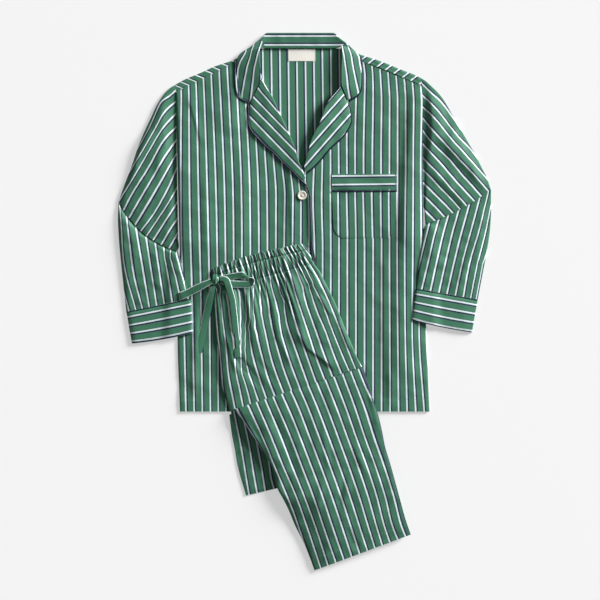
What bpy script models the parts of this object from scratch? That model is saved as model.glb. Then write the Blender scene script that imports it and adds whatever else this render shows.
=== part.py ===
"""Pyjama set laid flat: a buttoned shirt with folded, tied trousers lying on it.

The set's own frame is used throughout: +X to the right, +Y towards the collar, +Z up off the
surface that it lies on. Tables and dimensions are in millimetres, and mesh points in metres.
"""

import math

import bmesh
import bpy
import numpy as np

MM = 0.001

# Cloth and trims
CLOTH = 1.2            # wall of one layer of cloth
GAP = 0.3              # clearance between pieces that lie on each other
PIPING_RADIUS = 1.6
RIBBON_WIDTH = 15.0
RIBBON_THICKNESS = 1.2

# Shirt
SHIRT_HEM_Y = -220.0
BACK_TOP = CLOTH                          # top of the back panel
FRONT_TOP = BACK_TOP + GAP + CLOTH        # top of a front that lies on the back
OVERLAP_WIDTH = 30.0                      # how far the left front laps over the right front
OVERLAP_RISE = CLOTH + GAP
STEP_AT = 14.0                            # the left front starts to rise this far before the right front's edge
STEP_WIDTH = 6.0
NECK_POINT_Y = 298.0                      # above the point of the neck opening nothing laps
NECK_POINT_EASE = 38.0
COLLAR_TOP_Y = 537.0
NECK_SEAM_Y = 505.0

# Buttons
BUTTON_RADIUS = 9.2
BUTTON_THICKNESS = 3.0
BUTTON_HOLE_RADIUS = 1.0
BUTTON_HOLE_SPREAD = 2.1
BUTTON_SPACING = 126.0
BUTTON_COUNT = 4
FIRST_BUTTON_Y = 212.0
BUTTON_FROM_EDGE = 15.0

# Trousers
LEG_TOP = 10.9         # top of the upper leg, over the shirt and the hidden layers
CORE_DROP = 1.8        # hidden layers end this far below the top of the wall that covers them
EDGE_DROP = 2.6        # how far a folded edge rounds down
EDGE_WIDTH = 12.0      # over what distance it rounds
UNDER_SHIRT = FRONT_TOP + GAP             # underside where the trousers lie on the shirt
UNDER_BUTTONS = 7.9                       # underside where they pass over the button line
LOWER_UNDER = LEG_TOP + GAP               # underside of the lower leg where it lies on the tuck
GATHERS = 22
GATHER_HEIGHT = 3.0
CASING_SHARE = 0.165   # share of the upper leg's length that the waist casing takes

GREEN = (0.052, 0.175, 0.105, 1.0)
NAVY = (0.012, 0.02, 0.045, 1.0)
CREAM = (0.72, 0.68, 0.56, 1.0)

# Left front's edge, where its piping runs down to the hem
FRONT_EDGE = (  # y, x
    (230.0, 7.5),
    (209.0, 10.5),
    (173.0, 11.5),
    (143.0, 13.0),
    (113.0, 15.0),
    (90.0, 19.0),
    (60.0, 22.0),
    (0.0, 23.0),
    (SHIRT_HEM_Y, 23.0),
)

# Armhole and side of the body, from the shoulder fold to the hem
LEFT_SIDE = (  # y, x
    (433.0, -258.5),
    (103.0, -249.5),
    (20.0, -252.5),
    (-69.0, -254.0),
    (-117.0, -253.0),
    (-167.0, -251.0),
    (SHIRT_HEM_Y, -249.0),
)
RIGHT_SIDE = (  # y, x
    (446.0, 235.0),
    (155.0, 238.0),
    (60.0, 240.5),
    (-45.0, 243.0),
    (-77.0, 245.0),
    (-157.0, 247.0),
    (SHIRT_HEM_Y, 250.0),
)

# Shoulder: the fold at the top of the shirt, and the seam of the yoke below it
LEFT_SHOULDER = (  # x, fold y, seam y
    (-258.5, 433.0, 418.5),
    (-249.0, 439.0, 423.0),
    (-233.0, 447.0, 431.0),
    (-215.0, 454.0, 440.0),
    (-199.0, 461.0, 448.0),
    (-183.0, 469.0, 456.0),
    (-165.0, 475.0, 465.0),
    (-143.0, 482.0, 476.0),
    (-123.0, 494.0, 486.0),
)
RIGHT_SHOULDER = (  # x, fold y, seam y
    (95.0, 501.0, 488.0),
    (111.0, 494.0, 481.0),
    (133.0, 487.0, 474.0),
    (151.0, 481.0, 467.0),
    (169.0, 474.0, 460.0),
    (185.0, 467.0, 453.0),
    (203.0, 460.0, 445.0),
    (219.0, 454.0, 439.0),
    (235.0, 446.0, 431.0),
)

# Rows across a front, each from its side to its neck, roll or front edge
LEFT_FRONT_ROWS = (  # side y, inner x, inner y
    (418.0, -123.0, 485.5),
    (395.0, -108.0, 468.0),
    (360.0, -95.0, 446.0),
    (325.0, -76.0, 420.0),
    (283.0, -56.0, 380.0),
    (243.0, -35.5, 340.0),
    (203.0, -19.5, 298.0),
    (163.0, -6.0, 260.0),
    (133.0, 3.0, 238.0),
    (103.0, 8.3, 209.0),
    (65.0, 9.6, 172.0),
    (15.0, 13.0, 115.0),
    (-35.0, 19.5, 62.0),
    (-85.0, 21.0, 0.0),
    (-130.0, 21.0, -80.0),
    (-172.0, 21.0, -150.0),
    (SHIRT_HEM_Y, 21.0, SHIRT_HEM_Y),
)
RIGHT_FRONT_ROWS = (  # side y, inner x, inner y
    (430.5, 95.0, 487.5),
    (410.0, 84.0, 462.0),
    (375.0, 73.0, 432.0),
    (335.0, 50.0, 402.0),
    (295.0, 34.0, 362.0),
    (255.0, 18.0, 329.0),
    (215.0, 6.0, 291.0),
    (185.0, -2.0, 267.0),
    (155.0, -12.0, 240.0),
    (115.0, -19.0, 205.0),
    (70.0, -19.0, 165.0),
    (20.0, -15.0, 113.0),
    (-35.0, -8.0, 60.0),
    (-80.0, -7.0, 0.0),
    (-125.0, -7.0, -70.0),
    (-170.0, -7.0, -140.0),
    (SHIRT_HEM_Y, -7.0, SHIRT_HEM_Y),
)

# Long soft folds that stand up in the fronts
FRONT_FOLDS = (  # x at top, y top, x at bottom, y bottom, half width, height
    (205.0, 410.0, 199.0, -340.0, 13.0, 2.8),
    (174.0, 106.0, 176.0, -340.0, 13.0, 1.8),
    (208.0, 460.0, 180.0, 330.0, 14.0, 1.4),
    (-232.0, 400.0, -228.0, 110.0, 16.0, 1.6),
    (-214.0, 60.0, -222.0, -340.0, 13.0, 1.6),
)

# Sleeves and cuffs
FLAT_SLEEVE = 3.0      # height of a flattened sleeve at its folded edges
STEP_ONTO_BODY = (34.0, 12.0)             # a sleeve climbs onto the body between these distances from its side

# Sleeves: rings from the armhole to the wrist, flat tubes that fold over at the elbow
LEFT_SLEEVE = (  # outer x, y, inner x, y, bow towards the wrist, crown above the underside
    (-259.8, 433.0, -252.5, 131.0, 0.0, 3.2),
    (-273.0, 423.0, -253.0, 125.0, 1.5, 5.0),
    (-289.0, 403.0, -251.9, 119.0, 4.0, 5.8),
    (-309.0, 363.0, -251.2, 114.0, 7.0, 6.0),
    (-329.0, 319.0, -251.0, 110.0, 10.0, 5.6),
    (-347.0, 267.0, -251.4, 106.0, 13.0, 5.0),
    (-363.0, 225.0, -252.3, 103.5, 16.0, 4.4),
    (-370.5, 203.0, -253.4, 101.5, 18.0, 3.4),
    (-372.4, 196.0, -253.0, 97.0, 18.0, 6.0),
    (-373.0, 167.0, -249.0, 87.0, 14.0, 6.2),
    (-371.0, 123.0, -245.0, 71.0, 9.0, 6.0),
    (-367.0, 79.0, -241.0, 51.0, 5.0, 5.8),
    (-362.0, 33.0, -238.0, 27.0, 2.0, 5.6),
    (-356.4, -19.5, -229.0, 6.8, 0.0, 5.0),
)
RIGHT_SLEEVE = (  # outer x, y, inner x, y, bow towards the wrist, crown above the underside
    (236.3, 446.0, 239.5, 190.0, 0.0, 3.2),
    (249.0, 435.0, 239.8, 183.0, 1.0, 5.0),
    (271.0, 413.0, 240.1, 176.0, 2.0, 5.8),
    (301.0, 363.0, 240.4, 170.0, 3.0, 6.0),
    (327.0, 319.0, 240.7, 165.0, 4.0, 5.6),
    (351.0, 275.0, 241.2, 161.0, 5.0, 5.4),
    (367.0, 241.0, 241.6, 158.0, 6.0, 4.4),
    (372.5, 225.0, 241.2, 155.0, 6.0, 3.4),
    (373.0, 218.0, 240.0, 150.5, 6.0, 6.0),
    (373.0, 183.0, 236.0, 135.0, 5.0, 6.2),
    (371.0, 143.0, 233.0, 107.0, 4.0, 6.0),
    (365.0, 103.0, 229.0, 83.0, 3.0, 5.8),
    (357.0, 59.0, 226.0, 55.0, 1.5, 5.6),
    (346.6, 5.2, 223.2, 27.0, 0.0, 5.0),
)
LEFT_CUFF = (  # outer x, y, inner x, y, bow towards the wrist, crown above the underside
    (-355.5, -24.6, -227.0, 1.6, 0.0, 5.4),
    (-350.0, -56.0, -225.0, -32.0, 1.0, 5.8),
    (-345.0, -84.0, -224.0, -63.0, 2.5, 5.0),
)
RIGHT_CUFF = (  # outer x, y, inner x, y, bow towards the wrist, crown above the underside
    (345.8, 0.2, 222.2, 22.0, 0.0, 5.4),
    (340.0, -32.0, 217.5, -8.0, 1.0, 5.8),
    (335.0, -62.0, 214.0, -37.0, 2.0, 5.0),
)

# Collar band, from the left gorge seam round the back of the neck to the right one
COLLAR = (  # inner x, y, top, under, outer x, y, top, under
    (-85.5, 447.5, 12.2, 3.0, -108.0, 400.0, 4.6, 3.0),
    (-87.0, 456.0, 12.6, 3.0, -117.0, 403.5, 4.6, 3.0),
    (-88.0, 469.0, 13.0, 3.0, -130.0, 412.0, 4.6, 3.0),
    (-89.0, 481.0, 13.0, 3.0, -135.0, 437.0, 4.6, 3.0),
    (-89.0, 493.0, 12.6, 3.0, -136.0, 459.0, 4.8, 3.0),
    (-89.5, 503.0, 11.6, 3.0, -135.0, 479.0, 5.6, 3.0),
    (-88.0, 508.0, 9.6, 2.0, -131.0, 491.0, 7.0, 3.0),
    (-84.0, 507.0, 6.6, 0.0, -109.0, 508.0, 9.6, 2.0),
    (-76.0, 505.6, 3.8, 0.0, -88.0, 525.0, 10.5, 0.0),
    (-60.0, 505.3, 2.8, 0.0, -74.0, COLLAR_TOP_Y, 10.5, 0.0),
    (-20.0, 505.3, 2.8, 0.0, -24.0, COLLAR_TOP_Y, 10.5, 0.0),
    (20.0, 505.3, 2.8, 0.0, 22.0, COLLAR_TOP_Y, 10.5, 0.0),
    (46.0, 505.3, 2.8, 0.0, 57.0, COLLAR_TOP_Y, 10.5, 0.0),
    (60.0, 505.6, 3.8, 0.0, 71.0, 526.0, 10.5, 0.0),
    (69.0, 508.0, 7.0, 0.0, 84.0, 516.0, 9.6, 2.0),
    (73.0, 511.0, 10.6, 2.0, 101.0, 499.0, 7.0, 3.0),
    (74.0, 503.0, 12.8, 3.0, 110.0, 489.0, 5.6, 3.0),
    (74.0, 489.0, 14.0, 3.0, 112.0, 472.0, 4.8, 3.0),
    (73.5, 473.0, 14.0, 3.0, 112.5, 452.0, 4.6, 3.0),
    (73.0, 457.0, 14.0, 3.0, 112.0, 430.0, 4.6, 3.0),
    (73.0, 444.0, 13.6, 3.0, 104.0, 413.5, 4.6, 3.0),
    (74.0, 432.0, 12.8, 3.0, 85.0, 403.5, 4.6, 3.0),
)

# Lapels, each row from the roll to the free edge
LEFT_LAPEL = (  # roll x, y, roll height, edge x, y
    (-84.5, 443.5, 12.0, -108.0, 397.0),
    (-73.0, 423.0, 12.4, -109.0, 377.0),
    (-61.0, 403.0, 12.4, -109.0, 359.0),
    (-51.0, 379.0, 12.2, -103.0, 342.0),
    (-41.0, 359.0, 11.8, -90.0, 327.0),
    (-33.0, 341.0, 11.2, -76.0, 313.0),
    (-23.0, 317.0, 10.4, -58.0, 297.5),
    (-17.0, 299.0, 9.8, -43.0, 281.5),
    (-11.0, 279.0, 9.2, -28.0, 268.0),
    (-4.0, 263.0, 8.4, -15.0, 255.0),
    (2.0, 246.0, 7.6, -3.0, 243.0),
)
RIGHT_LAPEL = (  # roll x, y, roll height, edge x, y
    (72.0, 428.5, 12.6, 84.0, 399.5),
    (60.0, 415.0, 13.0, 90.0, 382.0),
    (47.0, 399.0, 13.0, 91.0, 361.0),
    (38.0, 379.0, 12.8, 82.0, 341.0),
    (31.0, 359.0, 12.4, 66.0, 323.0),
    (23.0, 343.0, 11.8, 50.0, 308.5),
    (15.0, 327.0, 11.0, 38.0, 294.5),
    (9.0, 307.0, 10.0, 25.0, 279.0),
    (4.0, 289.0, 8.8, 14.0, 268.0),
    (-1.0, 270.0, 6.8, 3.0, 260.0),
)

# Piping that edges the wings of the collar and the lapels
LEFT_COLLAR_PIPING = (  # x, y
    (-138.0, 482.0),
    (-138.8, 459.0),
    (-138.2, 436.0),
    (-133.0, 410.0),
    (-121.0, 401.0),
    (-111.2, 397.5),
)
RIGHT_COLLAR_PIPING = (  # x, y
    (112.8, 490.0),
    (114.6, 472.0),
    (115.2, 452.0),
    (114.4, 429.0),
    (105.5, 410.5),
    (90.0, 401.5),
)
LEFT_LAPEL_PIPING = (  # x, y
    (-112.2, 392.0),
    (-111.8, 376.0),
    (-111.8, 358.0),
    (-105.5, 340.0),
    (-92.0, 324.6),
    (-78.0, 310.6),
    (-60.0, 295.2),
    (-45.0, 279.2),
    (-30.0, 265.4),
    (-17.0, 252.4),
    (-5.0, 240.0),
    (4.5, 230.5),
)
RIGHT_LAPEL_PIPING = (  # x, y
    (87.4, 397.0),
    (93.0, 381.0),
    (93.6, 360.0),
    (84.0, 338.4),
    (68.4, 320.6),
    (52.4, 306.0),
    (40.4, 292.0),
    (27.4, 276.6),
    (16.4, 265.6),
    (6.0, 257.0),
)

# Chest pocket: the turned band, its piping and the bag with cut lower corners
POCKET_BAND = (  # y, left x, right x
    (255.0, 54.0, 185.0),
    (222.6, 54.2, 185.0),
)
POCKET_PIPING_Y = 220.5
POCKET_PIPING_RADIUS = 1.4
POCKET_BAG = (  # y, left x, right x
    (218.4, 54.4, 185.0),
    (147.0, 57.0, 183.5),
    (135.0, 63.0, 176.0),
    (126.0, 75.0, 167.0),
)

LABEL_SIZE = (54.0, 24.0, 0.6)
LABEL_CENTRE = (-5.5, 492.6)

# Edges of the folded trousers
UPPER_LEFT = (  # x, y from the waist to the crease of the tuck
    (-185.0, 63.0),
    (-185.0, 33.0),
    (-183.0, 3.0),
    (-179.0, -37.0),
    (-176.0, -77.0),
    (-171.0, -97.0),
    (-168.0, -137.0),
    (-165.0, -167.0),
    (-159.0, -187.0),
    (-151.0, -221.0),
)
UPPER_RIGHT = (
    (-3.0, 116.0),
    (9.0, 99.0),
    (17.0, 79.0),
    (31.0, 59.0),
    (41.0, 39.0),
    (51.0, 19.0),
    (63.0, -7.0),
    (73.0, -33.0),
    (85.0, -63.0),
    (95.0, -87.0),
    (105.0, -111.0),
    (115.0, -131.0),
)
TUCK_LEFT = (  # x, y from the crease to the hidden fold
    (-151.0, -221.0),
    (-145.0, -267.0),
    (-139.0, -297.0),
    (-135.0, -321.0),
    (-129.0, -347.0),
    (-123.0, -367.0),
    (-117.0, -388.0),
)
TUCK_RIGHT = (
    (109.0, -131.0),
    (116.0, -157.0),
    (129.0, -203.0),
    (145.0, -261.0),
    (158.0, -312.0),
    (162.0, -323.0),
)
LOWER_LEFT = (  # x, y from the crease to the hem
    (-141.0, -215.0),
    (-121.0, -239.0),
    (-109.0, -259.0),
    (-93.0, -283.0),
    (-79.0, -307.0),
    (-65.0, -330.0),
    (-53.0, -375.0),
    (-43.0, -393.0),
    (-33.0, -413.0),
    (-19.0, -447.0),
    (-3.0, -479.0),
    (9.0, -507.0),
    (20.0, -537.0),
)
LOWER_RIGHT = (
    (117.0, -131.0),
    (125.0, -157.0),
    (131.0, -177.0),
    (139.0, -203.0),
    (147.0, -227.0),
    (155.0, -261.0),
    (161.0, -291.0),
    (169.0, -317.0),
    (179.0, -353.0),
    (191.0, -397.0),
    (201.0, -433.0),
    (212.0, -465.0),
)
LOWER_HEIGHT = (  # share of the lower leg's length, top of the cloth, underside of the hidden layers
    (0.0, 14.6, LOWER_UNDER),
    (0.02, 16.2, LOWER_UNDER),
    (0.06, 16.8, LOWER_UNDER),
    (0.3, 16.8, LOWER_UNDER),
    (0.5, 16.4, LOWER_UNDER),
    (0.6, 15.0, LOWER_UNDER),
    (0.65, 12.0, 6.0),
    (0.7, 8.8, 0.0),
    (0.78, 7.0, 0.0),
    (1.0, 6.0, 0.0),
)
LOWER_DENTS = (  # left and right share, share of length at left and right, half width, depth
    (0.08, 0.42, 0.20, 0.06, 9.0, 1.2),
    (0.05, 0.35, 0.36, 0.22, 8.0, 1.0),
    (0.18, 0.62, 0.52, 0.36, 9.0, 1.1),
    (0.45, 0.80, 0.48, 0.56, 9.0, 0.9),
    (0.35, 0.75, 0.80, 0.84, 9.0, 0.7),
)

# Tie: rows along each ribbon, with the way its width points
KNOT_CENTRE = (-178.0, 44.5, 18.0)
KNOT_SIZE = (13.0, 19.0, 7.6)
LEFT_LOOP = (  # x, y, z, way of the width x, y, z, share of the full width
    (-185.0, 40.5, 18.6, 0.42, -0.91, 0.0, 0.67),
    (-197.0, 35.0, 18.0, 0.42, -0.91, 0.0, 0.83),
    (-217.0, 25.0, 15.8, 0.40, -0.92, 0.0, 1.00),
    (-233.0, 17.0, 13.6, 0.36, -0.93, 0.0, 1.00),
    (-247.0, 11.5, 12.4, 0.30, -0.95, 0.0, 1.00),
    (-249.0, 11.0, 11.6, 0.30, -0.95, 0.0, 1.00),
    (-247.0, 11.5, 10.7, 0.30, -0.95, 0.0, 1.00),
    (-233.0, 17.0, 11.3, 0.36, -0.93, 0.0, 1.00),
    (-217.0, 25.0, 13.0, 0.40, -0.92, 0.0, 1.00),
    (-197.0, 35.0, 15.0, 0.42, -0.91, 0.0, 0.83),
    (-185.0, 40.5, 16.0, 0.42, -0.91, 0.0, 0.67),
)
RIGHT_LOOP = (
    (-169.5, 46.0, 18.2, 0.10, -0.99, 0.0, 0.60),
    (-158.0, 47.5, 18.4, -0.10, -0.99, 0.0, 0.80),
    (-143.0, 50.0, 18.6, -0.22, -0.97, 0.1, 0.93),
    (-127.0, 52.5, 19.0, -0.15, -0.90, 0.3, 0.93),
    (-112.0, 50.5, 19.4, 0.60, -0.40, 0.6, 0.87),
    (-104.5, 42.0, 19.2, 0.90, 0.10, 0.4, 0.80),
    (-108.5, 34.5, 17.8, 0.55, -0.75, 0.2, 0.87),
    (-122.0, 34.0, 16.8, 0.05, -0.99, 0.0, 0.93),
    (-140.0, 34.5, 16.4, -0.05, -0.99, 0.0, 0.93),
    (-156.0, 37.5, 16.4, -0.15, -0.98, 0.0, 0.73),
    (-168.0, 41.5, 16.6, -0.10, -0.99, 0.0, 0.60),
)
LEFT_TAIL = (
    (-181.0, 31.0, 15.6, 0.98, -0.10, 0.0, 0.60),
    (-184.5, 20.0, 15.0, 0.97, -0.16, 0.0, 0.73),
    (-188.0, 6.0, 12.8, 0.97, -0.20, 0.0, 0.87),
    (-192.5, -14.0, 8.8, 0.97, -0.22, 0.0, 0.97),
    (-198.5, -40.0, 5.4, 0.97, -0.24, 0.0, 1.00),
    (-204.5, -68.0, 4.6, 0.96, -0.28, 0.0, 1.00),
    (-212.0, -101.0, 4.6, 0.95, -0.30, 0.0, 1.00),
)
RIGHT_TAIL = (
    (-169.0, 45.0, 19.8, 0.15, 0.99, 0.0, 0.55),
    (-161.5, 45.0, 20.6, 0.35, 0.94, 0.0, 0.75),
    (-155.5, 41.0, 21.0, 0.70, 0.71, 0.0, 0.95),
    (-151.5, 33.0, 19.9, 0.90, 0.43, 0.0, 1.00),
    (-147.5, 21.0, 17.2, 0.95, 0.33, 0.0, 1.00),
    (-143.0, 6.0, 15.4, 0.97, 0.25, 0.0, 1.00),
    (-139.5, -20.0, 14.5, 0.98, 0.16, 0.0, 1.00),
    (-136.5, -50.0, 13.8, 0.99, 0.12, 0.0, 1.00),
    (-133.5, -80.0, 13.0, 0.99, 0.10, 0.0, 1.00),
    (-131.5, -111.0, 12.6, 0.99, 0.06, 0.0, 1.00),
)


# Curves and heights

def read_off(table, at, column=1):
    """Value of a column where the first column has the given value."""
    rows = sorted(table)
    return float(np.interp(at, [row[0] for row in rows], [row[column] for row in rows]))


def ease(value):
    """Smooth step from 0 to 1."""
    value = min(max(value, 0.0), 1.0)
    return value * value * (3.0 - 2.0 * value)


def bump(distance, half_width):
    """Soft ridge of height 1 at distance 0 that ends at the half width."""
    reach = min(abs(distance) / half_width, 1.0)
    return (0.5 + 0.5 * math.cos(math.pi * reach))


def along(rows, share):
    """Point at a share of a smooth curve's length, through the rows."""
    points = np.array(rows, float)
    steps = np.linalg.norm(np.diff(points[:, :2], axis=0), axis=1)
    lengths = np.concatenate([[0.0], np.cumsum(steps)])
    at = min(max(share, 0.0), 1.0) * lengths[-1]
    slopes = np.gradient(points, lengths, axis=0)
    k = min(int(np.searchsorted(lengths, at, side="right")) - 1, len(points) - 2)
    step = lengths[k + 1] - lengths[k]
    t = (at - lengths[k]) / step
    return (
        points[k] * (2 * t**3 - 3 * t**2 + 1)
        + slopes[k] * step * (t**3 - 2 * t**2 + t)
        + points[k + 1] * (3 * t**2 - 2 * t**3)
        + slopes[k + 1] * step * (t**3 - t**2)
    )


def front_fold_height(x, y):
    """Height of the soft folds in the fronts above the flat cloth."""
    height = 0.0
    for top_x, top_y, low_x, low_y, half_width, rise in FRONT_FOLDS:
        share = (top_y - y) / (top_y - low_y)
        if 0.0 < share < 1.0:
            centre = top_x + (low_x - top_x) * share
            fade = ease(share * 6.0) * ease((1.0 - share) * 6.0)
            height = max(height, rise * fade * bump(x - centre, half_width))
    return height


def left_front_top(x, y):
    """Top of the left front: it rises where it laps over the right front."""
    edge = read_off(FRONT_EDGE, y)
    past_lap = x - (edge - OVERLAP_WIDTH - STEP_AT)
    below_neck = min(max((NECK_POINT_Y - y) / NECK_POINT_EASE, 0.0), 1.0)
    rise = OVERLAP_RISE * ease(past_lap / STEP_WIDTH) * below_neck
    return FRONT_TOP + rise + front_fold_height(x, y)


def right_front_top(x, y):
    return FRONT_TOP + front_fold_height(x, y)


def under_trousers(x, y):
    """Underside of the trousers: over the shirt, higher over its buttons, and down to the surface past its hem."""
    over_buttons = ease((x + 92.0) / 30.0) * ease((92.0 - x) / 30.0)
    height = UNDER_SHIRT + (UNDER_BUTTONS - UNDER_SHIRT) * over_buttons
    return height * (1.0 - ease((SHIRT_HEM_Y - 16.0 - y) / 30.0))


def edge_rounding(share, width):
    """How far a folded edge has dropped, at a share of the width across."""
    distance = min(share, 1.0 - share) * width
    inside = min(distance / EDGE_WIDTH, 1.0)
    return EDGE_DROP * (1.0 - math.sqrt(1.0 - (1.0 - inside) ** 2))


# Making objects

def material(name, colour, roughness):
    made = bpy.data.materials.new(name)
    made.use_nodes = True
    shader = made.node_tree.nodes["Principled BSDF"]
    shader.inputs["Base Color"].default_value = colour
    shader.inputs["Roughness"].default_value = roughness
    made.diffuse_color = colour
    return made


def add_object(name, data, colour, roughness=0.85):
    made = bpy.data.objects.new(name, data)
    made.data.materials.append(material(name, colour, roughness))
    collection.objects.link(made)
    return made


def to_mesh(name, made):
    mesh = bpy.data.meshes.new(name)
    made.to_mesh(mesh)
    made.free()
    return mesh


def cloth_sheet(name, surface, columns, rows, thickness=CLOTH):
    """A panel: an open grid on its top surface, given its wall downwards."""
    made = bmesh.new()
    bmesh.ops.create_grid(made, x_segments=columns, y_segments=rows, size=0.5)
    for vertex in made.verts:
        vertex.co = [value * MM for value in surface(vertex.co.x + 0.5, 0.5 - vertex.co.y)]
    bmesh.ops.recalc_face_normals(made, faces=made.faces[:])
    if sum(face.normal.z for face in made.faces) < 0.0:
        bmesh.ops.reverse_faces(made, faces=made.faces[:])
    sheet = add_object(name, to_mesh(name, made), GREEN)
    wall = sheet.modifiers.new("Cloth wall", "SOLIDIFY")
    wall.thickness = thickness * MM
    wall.offset = -1.0
    return sheet


def loft(name, rings, capped, colour=GREEN):
    """Skin through closed rings of points, with flat ends where it is capped."""
    made = bmesh.new()
    placed = [[made.verts.new([value * MM for value in point]) for point in ring] for ring in rings]
    for ring, following in zip(placed, placed[1:]):
        for k in range(len(ring)):
            after = (k + 1) % len(ring)
            made.faces.new((ring[k], ring[after], following[after], following[k]))
    if capped:
        made.faces.new(placed[0])
        made.faces.new(placed[-1])
    bmesh.ops.recalc_face_normals(made, faces=made.faces[:])
    if not capped and outward_volume(made) < 0.0:
        bmesh.ops.reverse_faces(made, faces=made.faces[:])
    return add_object(name, to_mesh(name, made), colour)


def outward_volume(made):
    """Signed volume of a skin about its middle, above zero where its faces point out."""
    middle = sum((vertex.co for vertex in made.verts), made.verts[:][0].co * 0.0) / len(made.verts)
    return sum(face.normal.dot(face.calc_center_median() - middle) * face.calc_area() for face in made.faces)


def tube_along(name, points, radius, colour=NAVY):
    """A round trim that follows its points, with filled ends."""
    curve = bpy.data.curves.new(name, "CURVE")
    curve.dimensions = "3D"
    curve.bevel_depth = radius * MM
    curve.bevel_resolution = 2
    curve.use_fill_caps = True
    spline = curve.splines.new("POLY")
    spline.points.add(len(points) - 1)
    for made, place in zip(spline.points, points):
        made.co = [value * MM for value in place] + [1.0]
    return add_object(name, curve, colour, 0.6)


def flat_outline(name, outline, low, thickness, colour=GREEN):
    """A flat piece cut to an outline."""
    curve = bpy.data.curves.new(name, "CURVE")
    curve.dimensions = "2D"
    curve.fill_mode = "BOTH"
    curve.extrude = thickness / 2.0 * MM
    spline = curve.splines.new("POLY")
    spline.points.add(len(outline) - 1)
    spline.use_cyclic_u = True
    for made, (x, y) in zip(spline.points, outline):
        made.co = (x * MM, y * MM, 0.0, 1.0)
    piece = add_object(name, curve, colour)
    piece.location.z = (low + thickness / 2.0) * MM
    return piece


# Shirt body

def make_back():
    inset = GAP / 2.0
    left = [(x + inset, y) for y, x in LEFT_SIDE]
    right = [(x - inset, y) for y, x in reversed(RIGHT_SIDE)]
    left_shoulder = [(x, fold) for x, fold, seam in reversed(LEFT_SHOULDER[1:])]
    right_shoulder = [(x, fold) for x, fold, seam in reversed(RIGHT_SHOULDER[:-1])]
    neck = [(77.0, NECK_SEAM_Y - GAP), (-95.0, NECK_SEAM_Y - GAP)]
    flat_outline("shirt_back", left + right + right_shoulder + neck + left_shoulder, 0.0, CLOTH)


def make_yoke(name, shoulder):
    """The strip of the yoke that wraps over the shoulder to its seam with the front."""
    def surface(across, down):
        at = along([(row[0], row[1]) for row in shoulder], across)
        x = float(np.clip(at[0], shoulder[0][0] + GAP, shoulder[-1][0] - GAP))
        fold = read_off(shoulder, x, 1)
        seam = read_off(shoulder, x, 2) + GAP
        return x, fold + (seam - fold) * down, FRONT_TOP

    cloth_sheet(name, surface, 8, 1)


def make_left_front():
    spread = [k / 11.0 for k in range(12)]
    lap = (OVERLAP_WIDTH + STEP_AT, OVERLAP_WIDTH + 5.0, BUTTON_FROM_EDGE, 0.0)

    def surface(across, down):
        side_y, inner_x, inner_y = row_at(LEFT_FRONT_ROWS, down)
        side_x = read_off(LEFT_SIDE, side_y) + GAP / 2.0
        width = inner_x - side_x
        shares = [s * (1.0 - lap[0] / width) for s in spread] + [1.0 - d / width for d in lap[1:]]
        share = shares[round(across * (len(shares) - 1))]
        x = side_x + width * share
        y = side_y + (inner_y - side_y) * share
        return x, y, left_front_top(x, y)

    cloth_sheet("front_left", surface, len(spread) + len(lap) - 2, len(LEFT_FRONT_ROWS) - 1)


def make_right_front():
    near_side = (76.0, 64.0, 52.0, 40.0, 28.0, 14.0, 0.0)
    spread = [k / 6.0 for k in range(7)]

    def surface(across, down):
        side_y, inner_x, inner_y = row_at(RIGHT_FRONT_ROWS, down)
        side_x = read_off(RIGHT_SIDE, side_y) - GAP / 2.0
        width = side_x - inner_x
        shares = [s * (1.0 - near_side[0] / width) for s in spread] + [1.0 - d / width for d in near_side[1:]]
        share = shares[round(across * (len(shares) - 1))]
        x = inner_x + width * share
        y = inner_y + (side_y - inner_y) * share
        return x, y, right_front_top(x, y)

    cloth_sheet("front_right", surface, len(spread) + len(near_side) - 2, len(RIGHT_FRONT_ROWS) - 1)


def row_at(rows, down):
    return rows[round(down * (len(rows) - 1))]


# Sleeves and cuffs

SLEEVE_SHARES = (0.012, 0.06, 0.2, 0.37, 0.55, 0.7, 0.82, 0.92, 0.988)


def under_sleeve(x, y, side):
    """Underside of a sleeve: on the surface, and up onto the body where it crosses its side."""
    if side < 0:
        over = read_off(LEFT_SIDE, y) - x
        low_y = 103.0
    else:
        over = x - read_off(RIGHT_SIDE, y)
        low_y = 155.0
    if y > low_y - 2.0:
        return 0.0
    far, near = STEP_ONTO_BODY
    return (UNDER_SHIRT + GAP) * ease((far - over) / (far - near))


def sleeve_rings(rows, side):
    rings = []
    for outer_x, outer_y, inner_x, inner_y, bow, crown in rows:
        outer = np.array((outer_x, outer_y))
        inner = np.array((inner_x, inner_y))
        across = inner - outer
        length = np.linalg.norm(across)
        # The bow points to the wrist, which lies below the outer half of the ring
        normal = np.array((across[1], -across[0])) / length * (1.0 if side < 0 else -1.0)

        def place(share):
            return outer + across * share + normal * bow * 4.0 * share * (1.0 - share)

        top = []
        bottom = []
        for share in SLEEVE_SHARES:
            x, y = place(share)
            low = under_sleeve(x, y, side)
            rise = (crown - FLAT_SLEEVE) * math.sin(math.pi * share) ** 0.5
            top.append((x, y, low + FLAT_SLEEVE + rise))
            bottom.append((x, y, low))
        ends = []
        for share in (1.0, 0.0):
            x, y = place(share)
            ends.append((x, y, under_sleeve(x, y, side) + FLAT_SLEEVE / 2.0))
        rings.append(top + [ends[0]] + bottom[::-1] + [ends[1]])
    return rings


def make_tube(name, rows, side):
    skin = loft(name, sleeve_rings(rows, side), capped=False)
    wall = skin.modifiers.new("Cloth wall", "SOLIDIFY")
    wall.thickness = CLOTH * MM
    wall.offset = -1.0
    return skin


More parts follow.
